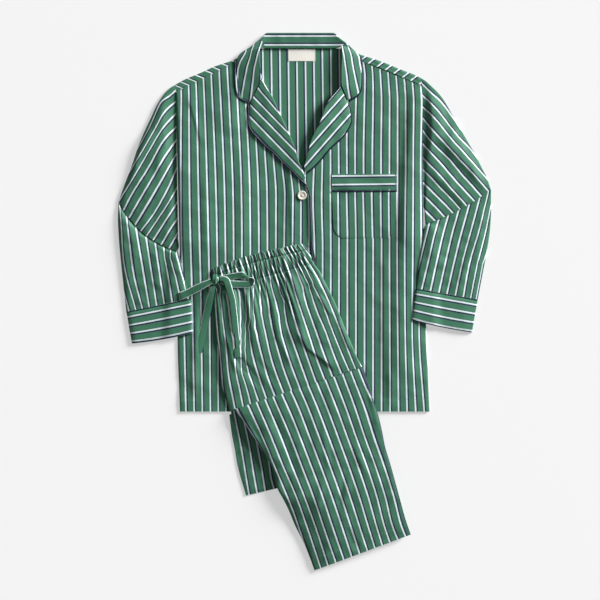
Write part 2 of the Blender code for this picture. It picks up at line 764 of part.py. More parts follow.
def make_cuff_piping(name, sleeve, cuff, side):
    """Piping laid in the seam between a sleeve and its cuff, across the side that faces up."""
    above = sleeve_rings(sleeve[-1:], side)[0][: len(SLEEVE_SHARES)]
    below = sleeve_rings(cuff[:1], side)[0][: len(SLEEVE_SHARES)]
    points = [[(a + b) / 2.0 for a, b in zip(*pair)] for pair in zip(above, below)]
    points = [(x, y, z - CLOTH) for x, y, z in points]
    tube_along(name, points, 1.35)


# Collar and lapels

def flap_ring(inner, inner_top, inner_under, outer, outer_top, outer_under, inner_round, outer_round):
    """Section of a flap: a rounded roll on one side and a free edge on the other."""
    inner = np.array(inner)
    outer = np.array(outer)
    across = outer - inner
    length = np.linalg.norm(across)

    def at(distance, height):
        x, y = inner + across * (distance / length)
        return (x, y, height)

    def under(distance):
        return inner_under + (outer_under - inner_under) * distance / length

    def top(distance):
        return inner_top + (outer_top - inner_top) * distance / length

    first = min(inner_round, length * 0.2)
    last = length - min(outer_round, length * 0.2)
    middle = [length * share for share in (0.35, 0.65)]
    ring = [at(0.0, under(0.0) + (inner_top - inner_under) * 0.45), at(first, top(first))]
    ring += [at(distance, top(distance)) for distance in middle]
    ring += [at(last, top(last)), at(length, under(length) + (outer_top - outer_under) * 0.45)]
    ring += [at(last, under(last))] + [at(distance, under(distance)) for distance in middle[::-1]]
    ring += [at(first, under(first))]
    return ring


def make_collar():
    rings = []
    for ix, iy, itop, iunder, ox, oy, otop, ounder in COLLAR:
        rings.append(flap_ring((ix, iy), itop, iunder, (ox, oy), otop, ounder, 3.0, 3.0))
    loft("collar", rings, capped=True)


def make_lapel(name, rows, front_top):
    rings = []
    for roll_x, roll_y, roll_top, edge_x, edge_y in rows:
        # A few points of the front below show how high the flap has to lie
        under_roll = max(front_top(roll_x, roll_y), front_top(roll_x - 4.0, roll_y)) + GAP + 0.2
        under_edge = max(front_top(edge_x, edge_y), front_top(edge_x + 5.0, edge_y)) + GAP + 0.2
        edge_top = under_edge + 1.6
        rings.append(
            flap_ring((roll_x, roll_y), roll_top, under_roll, (edge_x, edge_y), edge_top, under_edge, 3.0, 2.0)
        )
    loft(name, rings, capped=True)


def make_edge_piping():
    lift = GAP + PIPING_RADIUS
    left = [(x, y, FRONT_TOP + lift) for x, y in LEFT_COLLAR_PIPING]
    right = [(x, y, FRONT_TOP + lift) for x, y in RIGHT_COLLAR_PIPING]
    tube_along("piping_collar_left", smoothed(left, 10), PIPING_RADIUS)
    tube_along("piping_collar_right", smoothed(right, 10), PIPING_RADIUS)
    lapel = [(x, y, left_front_top(x + 6.0, y) + lift) for x, y in LEFT_LAPEL_PIPING]
    edge = [(x + 0.2, y, FRONT_TOP + lift) for y, x in FRONT_EDGE[1:]]
    edge += [(FRONT_EDGE[-1][1] + 0.2, SHIRT_HEM_Y + 1.0, FRONT_TOP + lift)]
    tube_along("piping_front_left", smoothed(lapel, 18) + edge[:-2] + edge[-1:], PIPING_RADIUS)
    right_lapel = [(x, y, FRONT_TOP + lift) for x, y in RIGHT_LAPEL_PIPING]
    tube_along("piping_lapel_right", smoothed(right_lapel, 14), PIPING_RADIUS)


def smoothed(points, count):
    return [tuple(along(points, k / (count - 1.0))) for k in range(count)]


# Pocket, label and buttons

def make_pocket():
    low = FRONT_TOP + GAP

    def panel(rows):
        def surface(across, down):
            y, left, right = row_at(rows, down)
            x = left + (right - left) * across
            return x, y, low + CLOTH

        return surface

    cloth_sheet("pocket", panel(POCKET_BAG), 6, len(POCKET_BAG) - 1)
    cloth_sheet("pocket_band", panel(POCKET_BAND), 6, 1)
    ends = (POCKET_BAND[1][1], POCKET_BAND[1][2])
    height = low + POCKET_PIPING_RADIUS
    points = [(ends[0] + (ends[1] - ends[0]) * k / 3.0, POCKET_PIPING_Y, height) for k in range(4)]
    tube_along("piping_pocket", points, POCKET_PIPING_RADIUS)


def make_label():
    width, depth, thickness = LABEL_SIZE
    x, y = LABEL_CENTRE
    outline = [(x + sx * width / 2.0, y + sy * depth / 2.0) for sx, sy in ((-1, -1), (1, -1), (1, 1), (-1, 1))]
    flat_outline("neck_label", outline, BACK_TOP + GAP, thickness, CREAM)


def make_buttons():
    """Four-hole buttons: a turned disc with a rim, drilled by four round cutters."""
    radius = BUTTON_RADIUS
    profile = (  # distance from the axis, height
        (0.0, BUTTON_THICKNESS - 0.9),
        (radius * 0.62, BUTTON_THICKNESS - 0.9),
        (radius * 0.82, BUTTON_THICKNESS),
        (radius, BUTTON_THICKNESS * 0.6),
        (radius * 0.85, 0.0),
        (0.0, 0.0),
    )
    disc = bmesh.new()
    line = [disc.verts.new((x * MM, 0.0, z * MM)) for x, z in profile]
    for first, second in zip(line, line[1:]):
        disc.edges.new((first, second))
    shared = to_mesh("button_profile", disc)
    cutter_mesh = button_cutter()
    for number in range(BUTTON_COUNT):
        y = FIRST_BUTTON_Y - number * BUTTON_SPACING
        x = read_off(FRONT_EDGE, y) - BUTTON_FROM_EDGE
        place = (x * MM, y * MM, (FRONT_TOP + OVERLAP_RISE + GAP) * MM)
        button = add_object(f"button_{number + 1}", shared.copy(), CREAM, 0.25)
        button.location = place
        turn = button.modifiers.new("Turned", "SCREW")
        turn.steps = 16
        turn.render_steps = 16
        turn.use_merge_vertices = True
        turn.merge_threshold = 0.00001
        cutter = bpy.data.objects.new(f"button_holes_{number + 1}", cutter_mesh)
        cutter.location = place
        cutter.hide_render = True
        cutter.display_type = "WIRE"
        cutters.objects.link(cutter)
        drill = button.modifiers.new("Four holes", "BOOLEAN")
        drill.object = cutter


def button_cutter():
    made = bmesh.new()
    for sx, sy in ((-1, -1), (1, -1), (1, 1), (-1, 1)):
        hole = bmesh.ops.create_cone(
            made, cap_ends=True, segments=6, radius1=BUTTON_HOLE_RADIUS * MM,
            radius2=BUTTON_HOLE_RADIUS * MM, depth=4.0 * BUTTON_THICKNESS * MM,
        )
        shift = (sx * BUTTON_HOLE_SPREAD * MM, sy * BUTTON_HOLE_SPREAD * MM, 0.0)
        bmesh.ops.translate(made, verts=hole["verts"], vec=shift)
    return to_mesh("button_holes", made)


# Trousers

def upper_place(across, down):
    """Plan position on the upper leg, with the waist bowed up towards its left end."""
    left = along(UPPER_LEFT, down)
    right = along(UPPER_RIGHT, down)
    x, y = left + (right - left) * across
    bow = 7.0 * (1.0 - ease(down / 0.25)) * math.sin(math.pi * across**0.7)
    return x, y + bow


def gather_height(across, down):
    """Gathers of the waist: ridges of uneven height that fade down the leg."""
    ridge = 0.5 - 0.5 * math.cos(2.0 * math.pi * GATHERS * across)
    uneven = 0.72 + 0.28 * math.sin(9.0 * across + 4.0) * math.cos(23.0 * across)
    fade = 1.0 - ease((down - 0.1) / 0.6)
    ends = ease(across / 0.05) * ease((1.0 - across) / 0.05)
    return GATHER_HEIGHT * uneven * ridge * fade * ends


def upper_top(across, down):
    left = along(UPPER_LEFT, down)
    right = along(UPPER_RIGHT, down)
    width = float(np.linalg.norm(right - left))
    return LEG_TOP - edge_rounding(across, width)


def make_upper_leg():
    start = CASING_SHARE + 0.003

    def surface(across, down):
        share = start + (0.995 - start) * down
        x, y = upper_place(across, share)
        return x, y, upper_top(across, share) + gather_height(across, share)

    cloth_sheet("trouser_leg_upper", surface, 2 * GATHERS, 7)


def make_casing():
    """The waist casing: a frill above the channel of the drawstring, drawn in at its two seams."""
    rows = (  # share of the casing's depth, height above the leg
        (0.0, -2.4),
        (0.08, -0.1),
        (0.3, 0.2),
        (0.38, -0.1),
        (0.66, 1.4),
        (0.94, 0.0),
        (1.0, 0.0),
    )

    def surface(across, down):
        depth, lift = row_at(rows, down)
        share = CASING_SHARE * depth
        x, y = upper_place(across, share)
        return x, y, upper_top(across, share) + lift + gather_height(across, share)

    cloth_sheet("waist_casing", surface, 2 * GATHERS, len(rows) - 1)


def layered_ring(left, right, top, under, layers, groove=1.6):
    """Section of a stack of folded cloth: flat underside, rounded top, and grooves between the layers at both sides."""
    left = np.array(left)
    right = np.array(right)
    across = right - left
    width = float(np.linalg.norm(across))
    shares = (4.0 / width, 11.0 / width, 0.22, 0.4, 0.6, 0.78, 1.0 - 11.0 / width, 1.0 - 4.0 / width)

    def place(share):
        return left + across * share

    def side(end):
        inward = groove / width if end == 0.0 else -groove / width
        x, y = place(end)
        low = under(x, y) + 0.25
        high = max(top(end), low + 0.6)
        rows = []
        for k in range(2 * layers + 1):
            x, y = place(end + (inward if k % 2 else 0.0))
            rows.append((x, y, low + (high - low) * k / (2.0 * layers)))
        return rows

    upper = [(*place(share), top(share)) for share in shares]
    lower = [(*place(share), under(*place(share))) for share in shares]
    return side(0.0) + upper + side(1.0)[::-1] + lower[::-1]


CORE_INSET = 0.022
UPPER_CORE_ROWS = (0.02, 0.06, 0.11, 0.17, 0.25, 0.34, 0.45, 0.57, 0.69, 0.8, 0.9, 0.97)
TUCK_ROWS = (0.03, 0.1, 0.2, 0.34, 0.48, 0.62, 0.76, 0.86, 0.93, 0.965, 0.985, 1.0)


def make_upper_core():
    """Hidden layers from the waist to the hidden fold of the tuck."""
    rings = []
    for share in UPPER_CORE_ROWS:
        left = upper_place(CORE_INSET, share)
        right = upper_place(1.0 - CORE_INSET, share)
        depth = 1.6 * (1.0 - ease(share / 0.08))

        def top(across, share=share, depth=depth):
            return upper_top(across, share) - CORE_DROP - depth

        rings.append(layered_ring(left, right, top, under_trousers, 2))
    for share in TUCK_ROWS[1:-1]:
        left, right = tuck_ends(share)
        inset = (right - left) / np.linalg.norm(right - left) * 3.0

        def top(across, share=share):
            return tuck_top(across, share) - CORE_DROP - 0.3

        rings.append(layered_ring(left + inset, right - inset, top, under_trousers, 2))
    loft("trouser_layers_upper", rings, capped=True)


def tuck_ends(share):
    return along(TUCK_LEFT, share), along(TUCK_RIGHT, share)


def tuck_top(across, share):
    left, right = tuck_ends(share)
    width = float(np.linalg.norm(right - left))
    end_drop = 3.2 * (1.0 - math.sqrt(1.0 - max(0.0, (share - 0.93) / 0.07) ** 2))
    return LEG_TOP - edge_rounding(across, width) - end_drop


def make_tuck():
    """The side of the tuck that shows beside the lower leg."""
    shares = (0.0, 0.012, 0.03, 0.06, 0.1, 0.16, 0.24, 0.34, 0.44)

    def surface(across, down):
        share = row_at(TUCK_ROWS, down)
        left, right = tuck_ends(share)
        at = shares[round(across * (len(shares) - 1))]
        x, y = left + (right - left) * at
        return x, y, tuck_top(at, share)

    cloth_sheet("trouser_tuck", surface, len(shares) - 1, len(TUCK_ROWS) - 1)


def lower_place(across, down):
    left = along(LOWER_LEFT, down)
    right = along(LOWER_RIGHT, down)
    x, y = left + (right - left) * across
    return x, y


def lower_top(across, down):
    left = along(LOWER_LEFT, down)
    right = along(LOWER_RIGHT, down)
    width = float(np.linalg.norm(right - left))
    flatter = 1.0 - 0.35 * ease((down - 0.6) / 0.2)
    return read_off(LOWER_HEIGHT, down, 1) - edge_rounding(across, width) * flatter


def dent_depth(across, down):
    """Soft slanting troughs that cross the lower leg."""
    deepest = 0.0
    for left, right, down_left, down_right, half_width, depth in LOWER_DENTS:
        share = (across - left) / (right - left)
        if 0.0 < share < 1.0:
            away = (down - (down_left + (down_right - down_left) * share)) * 360.0
            deepest = max(deepest, depth * math.sin(math.pi * share) ** 0.5 * bump(away, half_width * 1.6))
    return deepest


LOWER_ROWS = (0.0, 0.012, 0.03, 0.07, 0.13, 0.2, 0.27, 0.34, 0.41, 0.48, 0.54, 0.6, 0.65, 0.7, 0.78, 0.86, 0.93, 1.0)


def make_lower_leg():
    shares = (0.0, 0.012, 0.04, 0.08, 0.16, 0.25, 0.35, 0.45, 0.55, 0.65, 0.75, 0.84, 0.92, 0.96, 0.988, 1.0)

    def surface(across, down):
        share = row_at(LOWER_ROWS, down)
        at = shares[round(across * (len(shares) - 1))]
        x, y = lower_place(at, share)
        ease_in = ease(share / 0.05) * ease((1.0 - share) / 0.05)
        return x, y, lower_top(at, share) + 0.9 * ease_in - dent_depth(at, share) * 0.8 * ease_in

    cloth_sheet("trouser_leg_lower", surface, len(shares) - 1, len(LOWER_ROWS) - 1)


def make_lower_core():
    """Hidden layers of the lower leg, from the crease to the hem."""
    rings = []
    for share in (0.012, 0.04, 0.1, 0.2, 0.3, 0.4, 0.5, 0.6, 0.65, 0.7, 0.78, 0.86, 0.94, 0.994):
        left = lower_place(0.012, share)
        right = lower_place(0.988, share)

        def top(across, share=share):
            return lower_top(across, share) - CORE_DROP

        def under(x, y, share=share):
            return read_off(LOWER_HEIGHT, share, 2)

        rings.append(layered_ring(left, right, top, under, 2))
    loft("trouser_layers_lower", rings, capped=True)


# Tie

def make_ribbon(name, rows):
    """A flat ribbon swept along its rows, with its width turned as each row says."""
    table = np.array(rows, float)
    centres = table[:, :3]
    tangents = np.gradient(centres, axis=0)
    rings = []
    for centre, tangent, row in zip(centres, tangents, table):
        side = row[3:6] / np.linalg.norm(row[3:6])
        normal = np.cross(tangent, side)
        normal /= np.linalg.norm(normal)
        half = side * row[6] * RIBBON_WIDTH / 2.0
        thick = normal * RIBBON_THICKNESS / 2.0
        rings.append([centre - half - thick, centre + half - thick, centre + half + thick, centre - half + thick])
    loft(name, rings, capped=True)


def make_knot():
    made = bmesh.new()
    bmesh.ops.create_uvsphere(made, u_segments=12, v_segments=6, radius=0.5)
    for vertex in made.verts:
        vertex.co = [(vertex.co[k] * KNOT_SIZE[k] + KNOT_CENTRE[k]) * MM for k in range(3)]
    add_object("tie_knot", to_mesh("tie_knot", made), GREEN)


# The set

for existing in list(bpy.data.objects):
    bpy.data.objects.remove(existing)
collection = bpy.data.collections.new("pyjama_set")
cutters = bpy.data.collections.new("pyjama_set_cutters")
bpy.context.scene.collection.children.link(collection)
bpy.context.scene.collection.children.link(cutters)

make_back()
make_yoke("yoke_left", LEFT_SHOULDER)
make_yoke("yoke_right", RIGHT_SHOULDER)
make_left_front()
make_right_front()
make_tube("sleeve_left", LEFT_SLEEVE, -1)
make_tube("sleeve_right", RIGHT_SLEEVE, 1)
make_tube("cuff_left", LEFT_CUFF, -1)
make_tube("cuff_right", RIGHT_CUFF, 1)
make_cuff_piping("piping_cuff_left", LEFT_SLEEVE, LEFT_CUFF, -1)
make_cuff_piping("piping_cuff_right", RIGHT_SLEEVE, RIGHT_CUFF, 1)
make_collar()
make_lapel("lapel_left", LEFT_LAPEL, left_front_top)
make_lapel("lapel_right", RIGHT_LAPEL, right_front_top)
make_edge_piping()
make_pocket()
make_label()
make_buttons()
make_casing()
make_upper_leg()
make_upper_core()
make_tuck()
make_lower_leg()
make_lower_core()
make_knot()
make_ribbon("tie_loop_left", LEFT_LOOP)
make_ribbon("tie_loop_right", RIGHT_LOOP)
make_ribbon("tie_tail_left", LEFT_TAIL)
make_ribbon("tie_tail_right", RIGHT_TAIL)
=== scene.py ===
import math

import bpy
import numpy as np
from mathutils import Matrix, Vector
from mathutils.bvhtree import BVHTree


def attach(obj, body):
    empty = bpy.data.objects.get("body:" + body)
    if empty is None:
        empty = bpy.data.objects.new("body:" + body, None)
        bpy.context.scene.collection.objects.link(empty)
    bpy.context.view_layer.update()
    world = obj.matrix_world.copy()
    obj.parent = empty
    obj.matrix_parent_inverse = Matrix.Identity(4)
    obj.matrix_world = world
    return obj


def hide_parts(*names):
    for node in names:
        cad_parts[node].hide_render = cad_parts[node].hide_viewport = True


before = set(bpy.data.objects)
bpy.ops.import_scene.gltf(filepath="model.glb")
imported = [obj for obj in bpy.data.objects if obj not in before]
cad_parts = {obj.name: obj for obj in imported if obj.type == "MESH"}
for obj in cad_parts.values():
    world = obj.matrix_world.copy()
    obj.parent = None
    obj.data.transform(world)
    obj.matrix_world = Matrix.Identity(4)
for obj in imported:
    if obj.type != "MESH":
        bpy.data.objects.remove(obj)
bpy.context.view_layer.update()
print("frame loaded")

mm = 0.001
shownPieces = []

cloth = {
    "wall": 1.0,            # thickness of a shown layer, mm
    "stripePeriod": 17.1,   # from one white stripe to the next, mm
    "frontTop": 2.7,        # top of a front lying on the back, mm
    "lapRise": 1.5,         # how much higher the left front lies over the right one
    "lapWidth": 44.0,
    "lapTop": 298.0,        # y below which the fronts overlap, and the mm that the rise takes
    "lapFade": 38.0,
    "sideInset": 0.15,      # how far a panel stays inside the shirt's side lines
    "foldGain": 1.45,       # all the listed folds are this much higher
    "foldFade": 0.22,       # share of a fold's length over which each end fades
    "rippleWaves": 16,
    "hemDepth": 26.0,       # width of a hem, and the mm from its edge to its row of stitches
    "hemStitch": 25.0,
}
stripeFit = {
    "spacing": 22.0,        # mm between the places that a given stripe holds
    "slack": 0.003,         # how loosely the fit holds them
    "unit": 100.0,          # mm in which the fit is worked out
}


# Curves and heights

def readTable(table, at, column=1):
    rows = sorted(table)
    return np.interp(at, [row[0] for row in rows], [row[column] for row in rows])


def evenShares(count):
    return np.linspace(0.0, 1.0, count)


def easeStep(value):
    value = np.clip(value, 0.0, 1.0)
    return value * value * (3.0 - 2.0 * value)


# Rises from both ends of a share
def bothEnds(share, width):
    return easeStep(share / width) * easeStep((1.0 - share) / width)


def softRidge(away, halfWidth):
    return 0.5 + 0.5 * np.cos(np.pi * np.minimum(np.abs(away) / halfWidth, 1.0))


# Points at shares of a smooth curve's length, where only the plan columns count as length
def alongRows(rows, share, plan=(0, 1)):
    points = np.array(rows, float)
    steps = np.linalg.norm(np.diff(points[:, list(plan)], axis=0), axis=1)
    lengths = np.concatenate([[0.0], np.cumsum(steps)])
    pace = np.diff(points, axis=0) / steps[:, None]
    slopes = pace[[0, -1]]
    if len(points) > 2:
        # A slope never outruns its neighbours, so the curve doesn't swing past a corner
        slopes = np.gradient(points, lengths, axis=0)
        least = 2.0 * np.minimum(np.abs(pace[:-1]), np.abs(pace[1:]))
        limited = np.clip(slopes[1:-1], -least, least)
        slopes[1:-1] = np.where(pace[:-1] * pace[1:] > 0.0, limited, 0.0)
    at = np.clip(np.asarray(share, float), 0.0, 1.0) * lengths[-1]
    k = np.clip(np.searchsorted(lengths, at, side="right") - 1, 0, len(points) - 2)
    step = (lengths[k + 1] - lengths[k])[..., None]
    t = (at - lengths[k])[..., None] / step
    return (
        points[k] * (2 * t**3 - 3 * t**2 + 1)
        + slopes[k] * step * (t**3 - 2 * t**2 + t)
        + points[k + 1] * (3 * t**2 - 2 * t**3)
        + slopes[k + 1] * step * (t**3 - t**2)
    )


# Distance to a line, above zero to the right of a line that runs down, and the share of its length
def awayFrom(points, x, y):
    points = np.array(points, float)
    lengths = np.linalg.norm(np.diff(points, axis=0), axis=1)
    nearest = np.full(np.shape(x), 1e9)
    signed = np.zeros(np.shape(x))
    share = np.zeros(np.shape(x))
    done = 0.0
    for start, end, length in zip(points, points[1:], lengths):
        way = (end - start) / length
        reach = np.clip((x - start[0]) * way[0] + (y - start[1]) * way[1], 0.0, length)
        dx = x - start[0] - way[0] * reach
        dy = y - start[1] - way[1] * reach
        distance = np.hypot(dx, dy)
        closer = distance < nearest
        nearest = np.where(closer, distance, nearest)
        sided = np.where(way[0] * dy - way[1] * dx > 0, distance, -distance)
        signed = np.where(closer, sided, signed)
        share = np.where(closer, (done + reach) / lengths.sum(), share)
        done += length
    return signed, share


# Sum of listed folds, each with its left and right half width, height, sharpness and line of the crest
def foldHeight(folds, x, y):
    total = np.zeros(np.shape(x))
    for left, right, height, sharp, *points in folds:
        signed, share = awayFrom(points, x, y)
        away = np.minimum(np.abs(signed) / np.where(signed < 0, left, right), 1.0)
        crest = (1.0 - sharp) * (0.5 + 0.5 * np.cos(np.pi * away)) + sharp * (1.0 - away) ** 2
        total = total + cloth["foldGain"] * height * crest * bothEnds(share, cloth["foldFade"])
    return total


# Slight unevenness of laid cloth, from rows of wave size (mm), height (mm) and seed
def ripples(x, y, rows):
    uneven = np.zeros(np.shape(x))
    for size, height, seed in rows:
        chance = np.random.default_rng(seed)
        total = np.zeros(np.shape(x))
        for _ in range(cloth["rippleWaves"]):
            turn = chance.uniform(0.0, 2.0 * np.pi)
            wave = size * chance.uniform(0.7, 2.0)
            start = chance.uniform(0.0, 2.0 * np.pi)
            total = total + np.sin((x * np.cos(turn) + y * np.sin(turn)) * 2.0 * np.pi / wave + start)
        uneven = uneven + total * height / math.sqrt(cloth["rippleWaves"])
    return uneven


# Step where a hem is turned up, with the dent of its row of stitches
def hemStep(fromHem, rise, dent):
    step = rise * easeStep((cloth["hemDepth"] - fromHem) / 2.0)
    return step - dent * softRidge(fromHem - cloth["hemStitch"], 2.5)


# Stripe count at any place, from a few given stripes, bent like a thin plate between them
def stripeField(guides):
    places = []
    numbers = []
    for number, *points in guides:
        length = np.linalg.norm(np.diff(np.array(points, float), axis=0), axis=1).sum()
        line = alongRows(points, evenShares(2 + int(length / stripeFit["spacing"])))
        places.extend(line / stripeFit["unit"])
        numbers.extend([number] * len(line))
    places = np.array(places)
    count = len(places)

    def bend(a, b):
        square = ((a[:, None, :] - b[None, :, :]) ** 2).sum(axis=2)
        return square * np.log(square + 1e-9)

    flat = np.hstack([np.ones((count, 1)), places])
    system = np.zeros((count + 3, count + 3))
    system[:count, :count] = bend(places, places) + stripeFit["slack"] * np.eye(count)
    system[:count, count:] = flat
    system[count:, :count] = flat.T
    weights = np.linalg.solve(system, np.concatenate([numbers, [0.0, 0.0, 0.0]]))

    def stripesAt(x, y):
        at = np.stack([np.ravel(x), np.ravel(y)], axis=1) / stripeFit["unit"]
        value = bend(at, places) @ weights[:count] + weights[count] + at @ weights[count + 1:]
        return value.reshape(np.shape(x))

    return stripesAt


# Making meshes

# A skin over rows of points (mm). uvParts holds the first row, stripe count and run of each
# differently cut stretch
def gridMesh(name, points, uvParts, closedRound=False, capped=False):
    rows, columns = points.shape[:2]
    index = np.arange(rows * columns).reshape(rows, columns)
    if closedRound:
        index = np.hstack([index, index[:, :1]])
        uvParts = [(first, np.hstack([u, u[:, :1]]), np.hstack([v, v[:, :1]]))
                   for first, u, v in uvParts]
    corners = (index[:-1, :-1], index[1:, :-1], index[1:, 1:], index[:-1, 1:])
    faces = np.stack(corners, axis=-1).reshape(-1, 4)
    uv = np.zeros((rows - 1, index.shape[1] - 1, 4, 2))
    for first, u, v in uvParts:
        for axis, value in enumerate((u, v)):
            cornerValues = (value[:-1, :-1], value[1:, :-1], value[1:, 1:], value[:-1, 1:])
            uv[first:, :, :, axis] = np.stack(cornerValues, axis=-1)[first:]
    mesh = bpy.data.meshes.new(name)
    faceList = faces.tolist()
    uvList = uv.reshape(-1, 2)
    if capped:
        faceList += [index[0, :columns].tolist(), index[-1, :columns][::-1].tolist()]
        ends = [np.stack([uvParts[0][k][0, :columns] for k in (1, 2)], axis=1)]
        ends += [np.stack([uvParts[-1][k][-1, :columns] for k in (1, 2)], axis=1)[::-1]]
        uvList = np.vstack([uvList] + ends)
    mesh.from_pydata((points.reshape(-1, 3) * mm).tolist(), [], faceList)
    layer = mesh.uv_layers.new(name="stripes")
    layer.data.foreach_set("uv", uvList.astype(np.float32).ravel())
    mesh.update()
    if facingIn(mesh, closedRound):
        mesh.flip_normals()
    return mesh


def facingIn(mesh, closedRound):
    normals = np.array([face.normal for face in mesh.polygons])
    areas = np.array([face.area for face in mesh.polygons])
    if not closedRound:
        return (normals[:, 2] * areas).sum() < 0.0
    centres = np.array([face.center for face in mesh.polygons])
    middle = centres.mean(axis=0)
    return ((normals * (centres - middle)).sum(axis=1) * areas).sum() < 0.0


def newObject(name, data):
    made = bpy.data.objects.new(name, data)
    bpy.context.scene.collection.objects.link(made)
    return made


def addPiece(name, mesh, material, wall=0.0, sharpAngle=50.0):
    piece = newObject(name, mesh)
    mesh.materials.append(material)
    if wall:
        layer = piece.modifiers.new("Cloth wall", "SOLIDIFY")
        layer.thickness = wall * mm
        layer.offset = -1.0
        settle(piece)
    piece.data.polygons.foreach_set("use_smooth", [True] * len(piece.data.polygons))
    piece.data.set_sharp_from_angle(angle=math.radians(sharpAngle))
    shownPieces.append(piece)
    return piece


# Turns what the modifiers make into the piece's own mesh, with nothing under the resting surface
def settle(piece):
    graph = bpy.context.evaluated_depsgraph_get()
    made = bpy.data.meshes.new_from_object(piece.evaluated_get(graph))
    piece.modifiers.clear()
    for vertex in made.vertices:
        vertex.co.z = max(vertex.co.z, 0.0)
    piece.data = made


def register(piece, node, cut=None):
    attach(piece, "root")
    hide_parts(node)
    if cut:
        area = sum(face.area for face in piece.data.polygons) / 2.0
        print(f"  {piece.name}: {area:.4f} m2 of cloth, cut {cut['flat']}")


# A panel of the striped cloth
def addPanel(name, node, points, uvParts, cut, closedRound=False, wall=cloth["wall"]):
    mesh = gridMesh(name, points, uvParts, closedRound)
    register(addPiece(name, mesh, stripes, wall=wall), node, cut)


# A panel whose given stripes run along y
def addStriped(name, node, x, y, z, guides, cut):
    addPanel(name, node, asPoints(x, y, z), [(0, stripeField(guides)(x, y), stripeRun(y))], cut)


def stripeRun(along):
    return along / cloth["stripePeriod"]


def asPoints(x, y, z):
    return np.stack([x, y, z], axis=-1)


# Shares across a width with close rows near both edges, so that rounded edges stay round
def edgeSpaced(count, width, close=(0.0, 0.25, 0.8, 1.6, 2.6)):
    close = np.array(close) / width
    middle = np.linspace(close[-1], 1.0 - close[-1], count - 2 * len(close) + 2)
    return np.concatenate([close[:-1], middle, 1.0 - close[:-1][::-1]])


# Half-round rise from the very edge of a piece
def roundEdge(distance, radius):
    inside = np.clip(distance / radius, 0.0, 1.0)
    return np.sqrt(np.maximum(1.0 - (1.0 - inside) ** 2, 0.0))


tubeEnd = 0.5               # thickness of a trim's two ends, as a share of the rest


# Round trim along points (mm)
def tubePiece(name, points, radius, sides, material):
    points = np.array(points, float)
    way = np.gradient(points, axis=0)
    way /= np.linalg.norm(way, axis=1)[:, None]
    up = np.tile([0.0, 0.0, 1.0], (len(points), 1))
    side = np.cross(way, up)
    side /= np.linalg.norm(side, axis=1)[:, None]
    up = np.cross(side, way)
    turn = np.linspace(0.0, 2.0 * np.pi, sides, endpoint=False)
    thick = np.full(len(points), radius)
    thick[[0, -1]] = radius * tubeEnd
    rings = (points[:, None, :]
             + side[:, None, :] * (np.cos(turn)[None, :] * thick[:, None])[..., None]
             + up[:, None, :] * (np.sin(turn)[None, :] * thick[:, None])[..., None])
    run = np.concatenate([[0.0], np.cumsum(np.linalg.norm(np.diff(points, axis=0), axis=1))])
    u = np.tile(turn / (2.0 * np.pi), (len(points), 1))
    v = np.tile(stripeRun(run)[:, None], (1, sides))
    return addPiece(name, gridMesh(name, rings, [(0, u, v)], True, True), material)


# Materials

def colour(code):
    values = [int(code[k:k + 2], 16) / 255.0 for k in (1, 3, 5)]
    return [v / 12.92 if v <= 0.04045 else ((v + 0.055) / 1.055) ** 2.4 for v in values] + [1.0]


def addNode(tree, kind, inputs=None, **settings):
    node = tree.nodes.new(kind)
    for name, value in settings.items():
        setattr(node, name, value)
    for socket, value in (inputs or {}).items():
        if isinstance(value, bpy.types.NodeSocket):
            tree.links.new(value, node.inputs[socket])
        else:
            node.inputs[socket].default_value = value
    return node


def newMaterial(name):
    made = bpy.data.materials.new(name)
    made.use_nodes = True
    made.node_tree.nodes.clear()
    return made, made.node_tree


def finishShader(tree, **inputs):
    shader = addNode(tree, "ShaderNodeBsdfPrincipled", inputs)
    addNode(tree, "ShaderNodeOutputMaterial", {"Surface": shader.outputs["BSDF"]})
    return shader


def setBands(ramp, bands):
    ramp.interpolation = "CONSTANT"
    for k, (position, code) in enumerate(bands):
        stop = ramp.elements[k] if k < 2 else ramp.elements.new(position)
        stop.position = position
        stop.color = colour(code)


poplin = {
    "white": "#D6E2E6",
    "navy": "#1B2C42",
    "grey": "#466A5E",
    "green": "#3D7359",
    "threads": 24.0,        # to a stripe period, so 0.7 mm each, drawn coarser than the real 0.2 mm
    "bump": 0.12,
    "mottle": 0.07,
}
poplin["bands"] = (
    (0.0, poplin["white"]),
    (0.085, poplin["navy"]),
    (0.25, poplin["grey"]),
    (0.34, poplin["green"]),
    (0.84, poplin["grey"]),
    (0.91, poplin["white"]),
)


